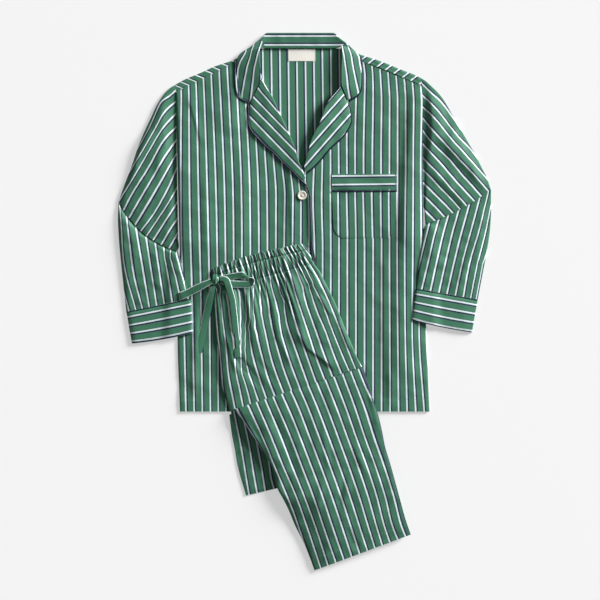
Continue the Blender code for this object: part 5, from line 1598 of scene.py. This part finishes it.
def tuckTop(across, share):
    left = alongRows(tuckLeft, share)
    right = alongRows(tuckRight, share)
    width = np.linalg.norm(right - left, axis=-1)
    drop = 3.2 * (1.0 - np.sqrt(1.0 - np.clip((share - 0.93) / 0.07, 0.0, 1.0) ** 2))
    return trousers["legTop"] - edgeRounding(across, width) - drop


def tuckSink(x, y):
    away, _ = awayFrom(lowerLeft, x, y)
    beside = (1.0 - 0.8 * easeStep((-away - 44.0) / 56.0)) * (1.0 - easeStep((away - 6.0) / 24.0))
    return (trousers["tuckSink"] + trousers["tuckDrop"] * easeStep((-238.0 - y) / 34.0)) * beside


def makeTuck():
    share = np.concatenate([np.linspace(0.03, 0.93, 70), np.linspace(0.937, 1.0, 14)])[:, None]
    across = np.linspace(0.0, 0.44, 90)[None, :]
    left = alongRows(tuckLeft, share + 0.0 * across)
    right = alongRows(tuckRight, share + 0.0 * across)
    at = left + (right - left) * across[..., None]
    x = at[..., 0]
    y = at[..., 1]
    edge = np.linalg.norm(at - left, axis=-1)
    z = tuckTop(across, share + 0.0 * across)
    uneven = ripples(x, y, trousers["tuckRipples"]) - 0.2
    z = z + uneven * easeStep(edge / 10.0) * easeStep((1.0 - share) / 0.07)
    # A hollow runs slantwise across the tuck, past the shirt's hem
    hollow = 1.6 * softRidge(x + 0.62 * y + 290.0 - 12.0, 26.0)
    z = z - hollow * easeStep(edge / 12.0) * easeStep((1.0 - share) / 0.1)
    z = np.maximum(np.minimum(z, 11.1) - tuckSink(x, y), underTrousers(x, y) + 2.2)
    cut = dict(flat=trousers["tuckFlat"], held="folded", rests_on=["TrouserLayersUpper"])
    addStriped("TrouserTuck", "trouser_tuck", x, y, z, tuckStripes, cut)


# The right half of the lower leg stays puffed up after the layers under it have ended
def legPuff(x, y, down):
    away, _ = awayFrom(puffLine, x, y)
    reach = easeStep((down - 0.5) / 0.2) * (1.0 - 0.55 * easeStep((down - 0.84) / 0.16))
    return trousers["legPuff"] * easeStep((away + 100.0) / 78.0) * reach


def lowerTop(across, down, width):
    flatter = 1.0 - 0.35 * easeStep((down - 0.6) / 0.2)
    near = [np.clip(down + k * 0.012, 0.0, 1.0) for k in (-2, -1, 0, 1, 2)]
    smooth = sum(readTable(lowerHeight, share) for share in near) / len(near)
    steep = readTable(lowerHeight, down)
    height = steep + (smooth - steep) * easeStep((down - 0.08) / 0.05)
    return height - edgeRounding(across, width) * flatter


def makeLowerLeg():
    across = evenShares(150)[None, :]
    close = np.array((0.0, 0.0015, 0.004, 0.008, 0.014, 0.021))
    down = np.concatenate([close[:-1], np.linspace(0.021, 1.0, 185)])[:, None] + 0.0 * across
    x, y, width = lowerPlace(across + 0.0 * down, down)
    soft = foldHeight(lowerFolds, x, y) + ripples(x, y, trousers["lowerRipples"])
    fromSide = np.minimum(across, 1.0 - across) * width
    soft = soft * easeStep(down / 0.04) * easeStep((1.0 - down) / 0.03) * easeStep(fromSide / 10.0)
    z = lowerTop(across, down, width) + 0.9 * easeStep(down / 0.05) * easeStep((1.0 - down) / 0.05)
    z = z + soft + hemStep((1.0 - down) * trousers["lowerLength"], 0.45, 0.3) + legPuff(x, y, down)
    x, y, z = withFolds(x, y, z, trousers["lowerFold"])
    u = stripeField(lowerStripes)(x, y)
    # The back panel's navy stripe rolls over the side seam at the right edge; the navy is laid over the whole
    # turned edge, so it is partly the stripe and partly painted shade along that edge
    u[:, -6:] = np.floor(u[:, -7:-6]) + 0.16
    cut = dict(flat=trousers["lowerFlat"], held="folded", rests_on=["TrouserLayersLower"])
    addPanel("TrouserLegLower", "trouser_leg_lower", asPoints(x, y, z), [(0, u, stripeRun(y))], cut)


# Rings of a stack of folded layers: a rounded lobe for each layer at both sides
def layeredRings(table, top, under):
    layers = trousers["layers"]
    rings = []
    for left, right, share in table:
        across = right - left
        width = float(np.linalg.norm(across))
        points = []
        turns = evenShares(6 * layers + 1)
        for end, inwardWay in ((0.0, 1.0), (1.0, -1.0)):
            column = []
            at = left + across * end
            low = float(under(np.array(at[0]), np.array(at[1]))) + 0.15
            high = max(float(top(np.array(end), share, at)), low + 0.8)
            for turn in turns:
                lobe = trousers["groove"] * abs(math.cos(math.pi * layers * turn))
                inward = lobe * inwardWay / width
                x, y = left + across * (end + inward)
                column.append((x, y, low + (high - low) * turn))
            points.append(column)
        shares = edgeSpaced(26, width, (0.0, 3.0, 8.0))[1:-1]
        ends = left + across * shares[:, None]
        upper = np.column_stack([ends, top(shares, share, ends.T)])
        lower = np.column_stack([ends, under(ends[:, 0], ends[:, 1])])
        rings.append(np.vstack([points[0], upper, points[1][::-1], lower[::-1]]))
    return np.array(rings)


def makeUpperLayers():
    table = []
    for share in np.linspace(0.02, 0.97, 34):
        ends = [np.array(upperPlace(np.array(a), np.array(share))[:2]) for a in (0.022, 0.978)]
        table.append((ends[0], ends[1], ("upper", share)))
    for share in np.concatenate([np.linspace(0.1, 0.86, 16), [0.93, 0.965, 0.985]]):
        ends = [alongRows(line, share) for line in (tuckLeft, tuckRight)]
        inset = (ends[1] - ends[0]) / np.linalg.norm(ends[1] - ends[0]) * 3.0
        table.append((ends[0] + inset, ends[1] - inset, ("tuck", share)))

    def top(across, at, place):
        part, share = at
        if part == "tuck":
            sunk = tuckTop(across, np.full(np.shape(across), share)) - 2.1 - tuckSink(place[0], place[1])
            return np.maximum(sunk, underTrousers(place[0], place[1]) + 0.9)
        width = float(upperPlace(np.array(0.5), np.array(share))[2])
        frontDrop = 1.6 * (1.0 - easeStep(share / 0.08))
        return trousers["legTop"] - edgeRounding(across, width) - 1.8 - frontDrop - creaseDip(share)

    rings = layeredRings(table, top, underTrousers)
    x, y, _ = np.moveaxis(rings, -1, 0)
    parts = [(0, stripeField(trouserStripes)(x, y), stripeRun(y))]
    parts += [(33, stripeField(tuckStripes)(x, y), stripeRun(y))]
    mesh = gridMesh("TrouserLayersUpper", rings, parts, closedRound=True, capped=True)
    register(addPiece("TrouserLayersUpper", mesh, stripes), "trouser_layers_upper")


def makeLowerLayers():
    def top(across, share, place):
        width = float(lowerPlace(np.array(0.5), np.array(share))[2])
        level = lowerTop(across, np.full(np.shape(across), share), width)
        return level + legPuff(place[0], place[1], share) - 1.9

    rings = []
    for share in np.concatenate([[0.012], np.linspace(0.03, 0.994, 44)]):
        left, right = [np.array(lowerPlace(np.array(a), np.array(share))[:2]) for a in (0.012, 0.988)]
        low = float(readTable(lowerHeight, share, 2))
        rings += list(layeredRings([(left, right, share)], top,
                                   lambda x, y: np.maximum(low - tuckSink(x, y), 0.0)))
    rings = np.array(rings)
    x, y, _ = np.moveaxis(rings, -1, 0)
    parts = [(0, stripeField(lowerStripes)(x, y), stripeRun(y))]
    mesh = gridMesh("TrouserLayersLower", rings, parts, closedRound=True, capped=True)
    register(addPiece("TrouserLayersLower", mesh, stripes), "trouser_layers_lower")


makeUpperLayers()
makeLowerLayers()
makeCasing()
makeUpperLeg()
makeTuck()
makeLowerLeg()
print("trousers made")


# Tie: a bow of narrow self-fabric ribbon with white edges

tie = {
    "width": 15.0,
    "thickness": 1.0,
    "knotCentre": (-178.0, 44.5, 18.0),
    "knotSize": (13.5, 20.0, 8.0),
}
leftLoop = (  # x, y, z, way of the width x, y, z, share of the full width
    (-185, 40.5, 18.6, 0.42, -0.91, 0, 0.67), (-197, 35, 18.0, 0.42, -0.91, 0, 0.83),
    (-217, 25, 15.8, 0.40, -0.92, 0, 1.0), (-233, 17, 13.6, 0.36, -0.93, 0, 1.0),
    (-247, 11.5, 12.4, 0.30, -0.95, 0, 1.0), (-249, 11, 11.6, 0.30, -0.95, 0, 1.0),
    (-247, 11.5, 10.7, 0.30, -0.95, 0, 1.0), (-233, 17, 11.3, 0.36, -0.93, 0, 1.0),
    (-217, 25, 13.0, 0.40, -0.92, 0, 1.0), (-197, 35, 15.0, 0.42, -0.91, 0, 0.83),
    (-185, 40.5, 16.0, 0.42, -0.91, 0, 0.67),
)
rightLoop = (
    (-169.5, 46, 18.2, 0.10, -0.99, 0, 0.60), (-158, 47.5, 18.4, -0.10, -0.99, 0, 0.80),
    (-143, 50, 18.8, -0.22, -0.94, -0.25, 0.93), (-127, 52.5, 19.0, -0.15, -0.92, -0.3, 0.93),
    (-112, 50.5, 19.4, 0.60, -0.40, 0.4, 0.87), (-104.5, 42, 19.2, 0.90, 0.10, 0.4, 0.80),
    (-108.5, 34.5, 17.8, 0.55, -0.75, 0.2, 0.87), (-122, 34, 16.8, 0.05, -0.99, 0, 0.93),
    (-140, 34.5, 16.4, -0.05, -0.99, 0, 0.93), (-156, 37.5, 16.4, -0.15, -0.98, 0, 0.73),
    (-168, 41.5, 16.6, -0.10, -0.99, 0, 0.60),
)
leftTail = (
    (-181, 31, 15.6, 0.98, -0.10, 0, 0.60), (-184.5, 20, 15.0, 0.97, -0.16, 0, 0.73),
    (-188, 6, 12.8, 0.97, -0.20, 0, 0.87), (-192.5, -14, 8.8, 0.97, -0.22, 0, 0.97),
    (-198.5, -40, 5.4, 0.97, -0.24, 0, 1.0), (-204.5, -68, 4.8, 0.96, -0.28, 0, 1.0),
    (-212, -101, 4.8, 0.95, -0.30, 0, 1.0),
)
rightTail = (
    (-169, 45, 19.8, 0.15, 0.99, 0, 0.55), (-161.5, 45, 20.6, 0.35, 0.94, 0, 0.75),
    (-155.5, 41, 21.0, 0.70, 0.71, 0, 0.92), (-152.5, 33, 19.9, 0.90, 0.43, 0, 0.92),
    (-149, 21, 17.2, 0.95, 0.33, 0, 0.90), (-144.8, 6, 15.8, 0.97, 0.25, 0, 0.88),
    (-141.2, -20, 15.0, 0.98, 0.16, 0, 0.88), (-138.2, -50, 14.4, 0.99, 0.12, 0, 0.88),
    (-135.2, -80, 13.6, 0.99, 0.10, 0, 0.88), (-132.8, -111, 13.0, 0.99, 0.06, 0, 0.90),
)


def makeKnot():
    turn = np.linspace(0.0, 2.0 * np.pi, 40, endpoint=False)[None, :]
    tilt = np.linspace(0.04, np.pi - 0.04, 30)[:, None]
    wrap = 1.0 + 0.09 * np.sin(3.0 * tilt * 2.0 + 1.2 * np.cos(turn)) + 0.05 * np.sin(5.0 * turn)
    x = np.cos(tilt) * wrap + 0.0 * turn
    y = np.sin(tilt) * np.cos(turn) * wrap
    z = np.sin(tilt) * np.sin(turn) * wrap
    sizes = [half / 2.0 for half in tie["knotSize"]]
    centre = tie["knotCentre"]
    rings = asPoints(x * sizes[0] + centre[0], y * sizes[1] + centre[1], z * sizes[2] + centre[2])
    u = 0.5 + 0.48 * np.cos(tilt) + 0.0 * turn
    mesh = gridMesh("TieKnot", rings, [(0, u, turn / 3.0 + 0.0 * tilt)], True, True)
    piece = addPiece("TieKnot", mesh, tieCloth)
    register(piece, "tie_knot")
    return piece


# The white edge lies on the side that the width points to, or on the other side if it is turned over.
# A loop is a folded sheet, and a tail is told from it only by being given a list of pieces, which nothing
# else reads
def makeRibbon(name, node, rows, pieces=None, turnedOver=False):
    isLoop = pieces is None
    count = 12 * (len(rows) - 1)
    table = alongRows(rows, evenShares(count), (0, 1, 2))
    centres = table[:, :3]
    ways = np.gradient(centres, axis=0)
    ways /= np.linalg.norm(ways, axis=1)[:, None]
    across = table[:, 3:6] / np.linalg.norm(table[:, 3:6], axis=1)[:, None]
    normal = np.cross(ways, across)
    normal /= np.linalg.norm(normal, axis=1)[:, None]
    half = tie["width"] / 2.0 * table[:, 6:7]
    shares = np.array((-1.0, -0.96, -0.8, -0.55, -0.28, 0.0, 0.28, 0.55, 0.8, 0.96, 1.0))
    thick = tie["thickness"] / 2.0
    cup = 0.25 * np.cos(shares * np.pi * 0.5)
    upper = thick * roundEdge(1.0 - np.abs(shares), 0.12) + cup
    lower = -thick * roundEdge(1.0 - np.abs(shares), 0.12) + cup
    around = np.concatenate([shares, shares[-2:0:-1]])
    heights = np.concatenate([upper, lower[-2:0:-1]])
    rings = (centres[:, None, :] + across[:, None, :] * (half * around[None, :])[..., None]
             + normal[:, None, :] * heights[None, :, None])
    run = np.concatenate([[0.0], np.cumsum(np.linalg.norm(np.diff(centres, axis=0), axis=1))])
    face = np.full((count, 1), -1.0 if turnedOver else 1.0)
    if isLoop:
        # Half way round a loop the ribbon is twisted once
        face[:count // 2] *= -1.0
    u = 0.5 + 0.4999 * around * face
    v = np.tile(stripeRun(run)[:, None], (1, len(around)))
    mesh = gridMesh(name, rings, [(0, u, v)], True, True)
    piece = addPiece(name, mesh, loopCloth if isLoop else tieCloth)
    register(piece, node)


knotPiece = makeKnot()
makeRibbon("TieLoopLeft", "tie_loop_left", leftLoop)
makeRibbon("TieLoopRight", "tie_loop_right", rightLoop)
makeRibbon("TieTailLeft", "tie_tail_left", leftTail, [knotPiece], turnedOver=True)
makeRibbon("TieTailRight", "tie_tail_right", rightTail, [])
print("tie made")


# Stitching

stitching = {
    "Spacing": 0.0032,
    "Stitch length": 0.0024,
    "Thread width": 0.00055,
    "Unevenness": 0.12,
    "Seed": 7,
}
stitchLift = 0.1            # mm that a thread's middle lies over the cloth
seamStitch = 2.4            # mm from a shoulder seam to its row of stitches
labelStitch = 1.1           # mm from the label's edge to its row


# Node group that sets stitches one after another along lines
def stitchNodes():
    tree = bpy.data.node_groups.new("StitchRow", "GeometryNodeTree")
    sockets = {
        "Geometry": "Geometry", "Spacing": "Float", "Stitch length": "Float", "Thread width": "Float",
        "Unevenness": "Float", "Seed": "Int", "Thread": "Material",
    }
    for name, kind in sockets.items():
        tree.interface.new_socket(name, in_out="INPUT", socket_type="NodeSocket" + kind)
    tree.interface.new_socket("Geometry", in_out="OUTPUT", socket_type="NodeSocketGeometry")
    given = addNode(tree, "NodeGroupInput").outputs
    line = addNode(tree, "GeometryNodeMeshToCurve", {"Mesh": given["Geometry"]})
    points = addNode(tree, "GeometryNodeCurveToPoints", {
        "Curve": line.outputs["Curve"], "Length": given["Spacing"]}, mode="LENGTH")
    size = addNode(tree, "ShaderNodeCombineXYZ", {
        "X": given["Thread width"], "Y": given["Thread width"], "Z": given["Stitch length"]})
    capsule = addNode(tree, "GeometryNodeMeshUVSphere", {"Segments": 6, "Rings": 4, "Radius": 0.5})
    stitch = addNode(tree, "GeometryNodeTransform", {
        "Geometry": capsule.outputs["Mesh"], "Scale": size.outputs["Vector"]})
    least = addNode(tree, "ShaderNodeMath", {0: 1.0, 1: given["Unevenness"]}, operation="SUBTRACT")
    length = addNode(tree, "FunctionNodeRandomValue", {
        2: least.outputs["Value"], 3: 1.0, "Seed": given["Seed"]}, data_type="FLOAT")
    stretch = addNode(tree, "ShaderNodeCombineXYZ", {"X": 1.0, "Y": 1.0, "Z": length.outputs[1]})
    placed = addNode(tree, "GeometryNodeInstanceOnPoints", {
        "Points": points.outputs["Points"], "Instance": stitch.outputs["Geometry"],
        "Rotation": points.outputs["Rotation"], "Scale": stretch.outputs["Vector"]})
    real = addNode(tree, "GeometryNodeRealizeInstances", {"Geometry": placed.outputs["Instances"]})
    dyed = addNode(tree, "GeometryNodeSetMaterial", {
        "Geometry": real.outputs["Geometry"], "Material": given["Thread"]})
    addNode(tree, "NodeGroupOutput", {"Geometry": dyed.outputs["Geometry"]})
    return tree


stitchRow = stitchNodes()


# Drops a line of points (mm) from above on to finished pieces
def dropped(line, names):
    bpy.context.view_layer.update()
    graph = bpy.context.evaluated_depsgraph_get()
    cloths = [BVHTree.FromObject(bpy.data.objects[name], graph) for name in names]
    points = np.array(line, float)
    steps = np.hypot(*np.diff(points, axis=0).T)
    run = np.concatenate([[0.0], np.cumsum(steps)])
    at = np.linspace(0.0, run[-1], max(int(run[-1] / 2.0), 2))
    found = []
    for x, y in zip(np.interp(at, run, points[:, 0]), np.interp(at, run, points[:, 1])):
        hits = [tree.ray_cast((x * mm, y * mm, 0.2), (0.0, 0.0, -1.0))[0] for tree in cloths]
        heights = [hit.z for hit in hits if hit is not None]
        found.append((x * mm, y * mm, max(heights) + stitchLift * mm) if heights else None)
    return found


def makeStitches(name, lines, thread):
    points = []
    edges = []
    for line, names in lines:
        before = None
        for point in dropped(line, names):
            if point is not None:
                points.append(point)
                if before is not None:
                    edges.append((len(points) - 2, len(points) - 1))
            before = point
    mesh = bpy.data.meshes.new(name)
    mesh.from_pydata(points, edges, [])
    piece = newObject(name, mesh)
    rows = piece.modifiers.new("Stitches", "NODES")
    rows.node_group = stitchRow
    values = dict(stitching, Thread=thread)
    for item in stitchRow.interface.items_tree:
        if item.in_out == "INPUT" and item.name in values:
            rows[item.identifier] = values[item.name]
    settle(piece)
    piece.data.polygons.foreach_set("use_smooth", [True] * len(piece.data.polygons))
    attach(piece, "root")
    print(f"  {name}: {len(piece.data.polygons)} faces")


def shirtHemLine():
    y = hemY + cloth["hemStitch"]
    return ((readTable(leftSide, y) + 2.0, y), (readTable(rightSide, y) - 2.0, y))


def seamLine(shoulder):
    return [(x, seam - seamStitch) for x, fold, seam in shoulder]


def casingLine(fromEdge):
    down = np.full(120, fromEdge / trousers["upperLength"])
    return np.column_stack(upperPlace(np.linspace(0.02, 0.98, 120), down)[:2])


def trouserHemLine():
    down = np.full(60, 1.0 - cloth["hemStitch"] / trousers["lowerLength"])
    return np.column_stack(lowerPlace(np.linspace(0.01, 0.99, 60), down)[:2])


def bandLine(y):
    return [(x, y) for x in pocket["bandStitchEnds"]]


def cuffLine(rows, share):
    outerX, outerY, innerX, innerY = alongRows(rows, share, plan=(0, 1, 2, 3))[:4]
    along = np.linspace(0.03, 0.97, 40)
    return np.column_stack([outerX + (innerX - outerX) * along, outerY + (innerY - outerY) * along])


def insideBag(inset):
    left = [(row[1] + inset, row[0]) for row in pocketBag[:-1]]
    right = [(row[2] - inset, row[0]) for row in pocketBag[:-1]]
    low = pocketBag[-1]
    return left + [(low[1] + 1.0, low[0] + inset), (low[2] - 1.0, low[0] + inset)] + right[::-1]


def aroundLabel(inset):
    x, y = label["centre"]
    halfWidth = label["size"][0] / 2.0 - inset
    halfHeight = label["size"][1] / 2.0 - inset
    corners = ((-1, -1), (1, -1), (1, 1), (-1, 1), (-1, -1))
    return [(x + halfWidth * right, y + halfHeight * up) for right, up in corners]


makeStitches("ShirtStitches", [
    (shirtHemLine(), ["FrontLeft", "FrontRight"]),
    (seamLine(leftShoulder), ["FrontLeft", "YokeLeft"]),
    (seamLine(rightShoulder), ["FrontRight", "YokeRight"]),
    (insideBag(pocket["seamInset"]), ["PocketBag"]),
    (bandLine(pocket["bandStitches"][0]), ["PocketBand"]),
    (bandLine(pocket["bandStitches"][1]), ["PocketBand"]),
    (cuffLine(leftCuffRows, 0.95), ["CuffLeft"]),
    (cuffLine(rightCuffRows, 0.95), ["CuffRight"]),
], greenThread)
makeStitches("TrouserStitches", [
    (casingLine(trousers["casingStitches"][0]), ["WaistCasing"]),
    (casingLine(trousers["casingStitches"][1]), ["WaistCasing"]),
    (trouserHemLine(), ["TrouserLegLower"]),
], greenThread)
makeStitches("LabelStitches", [(aroundLabel(labelStitch), ["NeckLabel"])], paleThread)
print("stitching made")


# Floor, light and camera

studio = {
    "floor": 0.43,          # share of the light that the paper gives back
    "floorTone": 0.896,     # how bright the empty paper looks
    "sky": 0.20,
    "boxPlace": (6.0, 3.74, 2.73),
    "boxSize": 2.42,
    "boxPower": 930.0,
    "boxShare": 0.45,       # share of the box in all the light on the floor
    "lowLight": 3.4,
    "lowElevation": 14.0,
    "lowSpread": 24.0,
    "side": 32.0,           # degrees above the right-hand side, seen from over the set
    "floorSize": 8.0,
    "floorDrop": 0.0002,
    "lens": 120.0,
    "sensor": 36.0,
    "cameraPlace": (-0.009, 0.003, 4.0),
}


# Matt paper, lit a little from below so that the lamp's fall-off doesn't show on it
def glowingPaper():
    made, tree = newMaterial("GlowingPaper")
    place = addNode(tree, "ShaderNodeTexCoord")
    away = addNode(tree, "ShaderNodeVectorMath", {
        0: place.outputs["Object"], 1: studio["boxPlace"]}, operation="DISTANCE")
    nearness = addNode(tree, "ShaderNodeMath", {
        0: float(np.linalg.norm(studio["boxPlace"])), 1: away.outputs["Value"]}, operation="DIVIDE")
    lamp = addNode(tree, "ShaderNodeMath", {0: nearness.outputs["Value"], 1: 3.0}, operation="POWER")
    glow = addNode(tree, "ShaderNodeMath", {
        0: lamp.outputs["Value"], 1: -studio["floor"] * studio["boxShare"],
        2: studio["floorTone"] - studio["floor"] * (1.0 - studio["boxShare"])},
        operation="MULTIPLY_ADD")
    tone = [studio["floor"]] * 3 + [1.0]
    finishShader(tree, **{
        "Base Color": tone, "Roughness": 0.9, "Specular IOR Level": 0.0,
        "Emission Color": (1.0, 1.0, 1.0, 1.0), "Emission Strength": glow.outputs["Value"]})
    return made


def makeStage():
    bpy.ops.mesh.primitive_plane_add(size=studio["floorSize"])
    floor = bpy.context.object
    floor.name = "Floor"
    floor.data.transform(Matrix.Translation((0.0, 0.0, -studio["floorDrop"])))
    floor.data.materials.append(glowingPaper())
    world = bpy.data.worlds.new("SoftRoom")
    world.use_nodes = True
    sky = world.node_tree.nodes["Background"].inputs
    sky["Color"].default_value = (1.0, 1.0, 1.0, 1.0)
    sky["Strength"].default_value = studio["sky"]
    bpy.context.scene.world = world
    box = bpy.data.lights.new("Softbox", "AREA")
    box.shape = "DISK"
    box.size = studio["boxSize"]
    box.energy = studio["boxPower"]
    placed = newObject("Softbox", box)
    placed.location = studio["boxPlace"]
    placed.rotation_euler = Vector(studio["boxPlace"]).to_track_quat("Z", "Y").to_euler()
    low = bpy.data.lights.new("LowLight", "SUN")
    low.energy = studio["lowLight"]
    low.angle = math.radians(studio["lowSpread"])
    tilt = math.radians(90.0 - studio["lowElevation"])
    newObject("LowLight", low).rotation_euler = (0.0, tilt, math.radians(studio["side"]))


def makeCamera():
    lens = bpy.data.cameras.new("OverheadLens")
    lens.lens = studio["lens"]
    lens.sensor_width = studio["sensor"]
    lens.clip_end = 20.0
    camera = newObject("Overhead", lens)
    camera.location = studio["cameraPlace"]
    bpy.context.scene.camera = camera


makeStage()
makeCamera()
bpy.context.scene.view_settings.view_transform = "Standard"

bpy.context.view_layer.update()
triangles = sum(sum(len(face.vertices) - 2 for face in piece.data.polygons) for piece in shownPieces)
print("stage made,", len(shownPieces), "pieces,", triangles, "triangles")
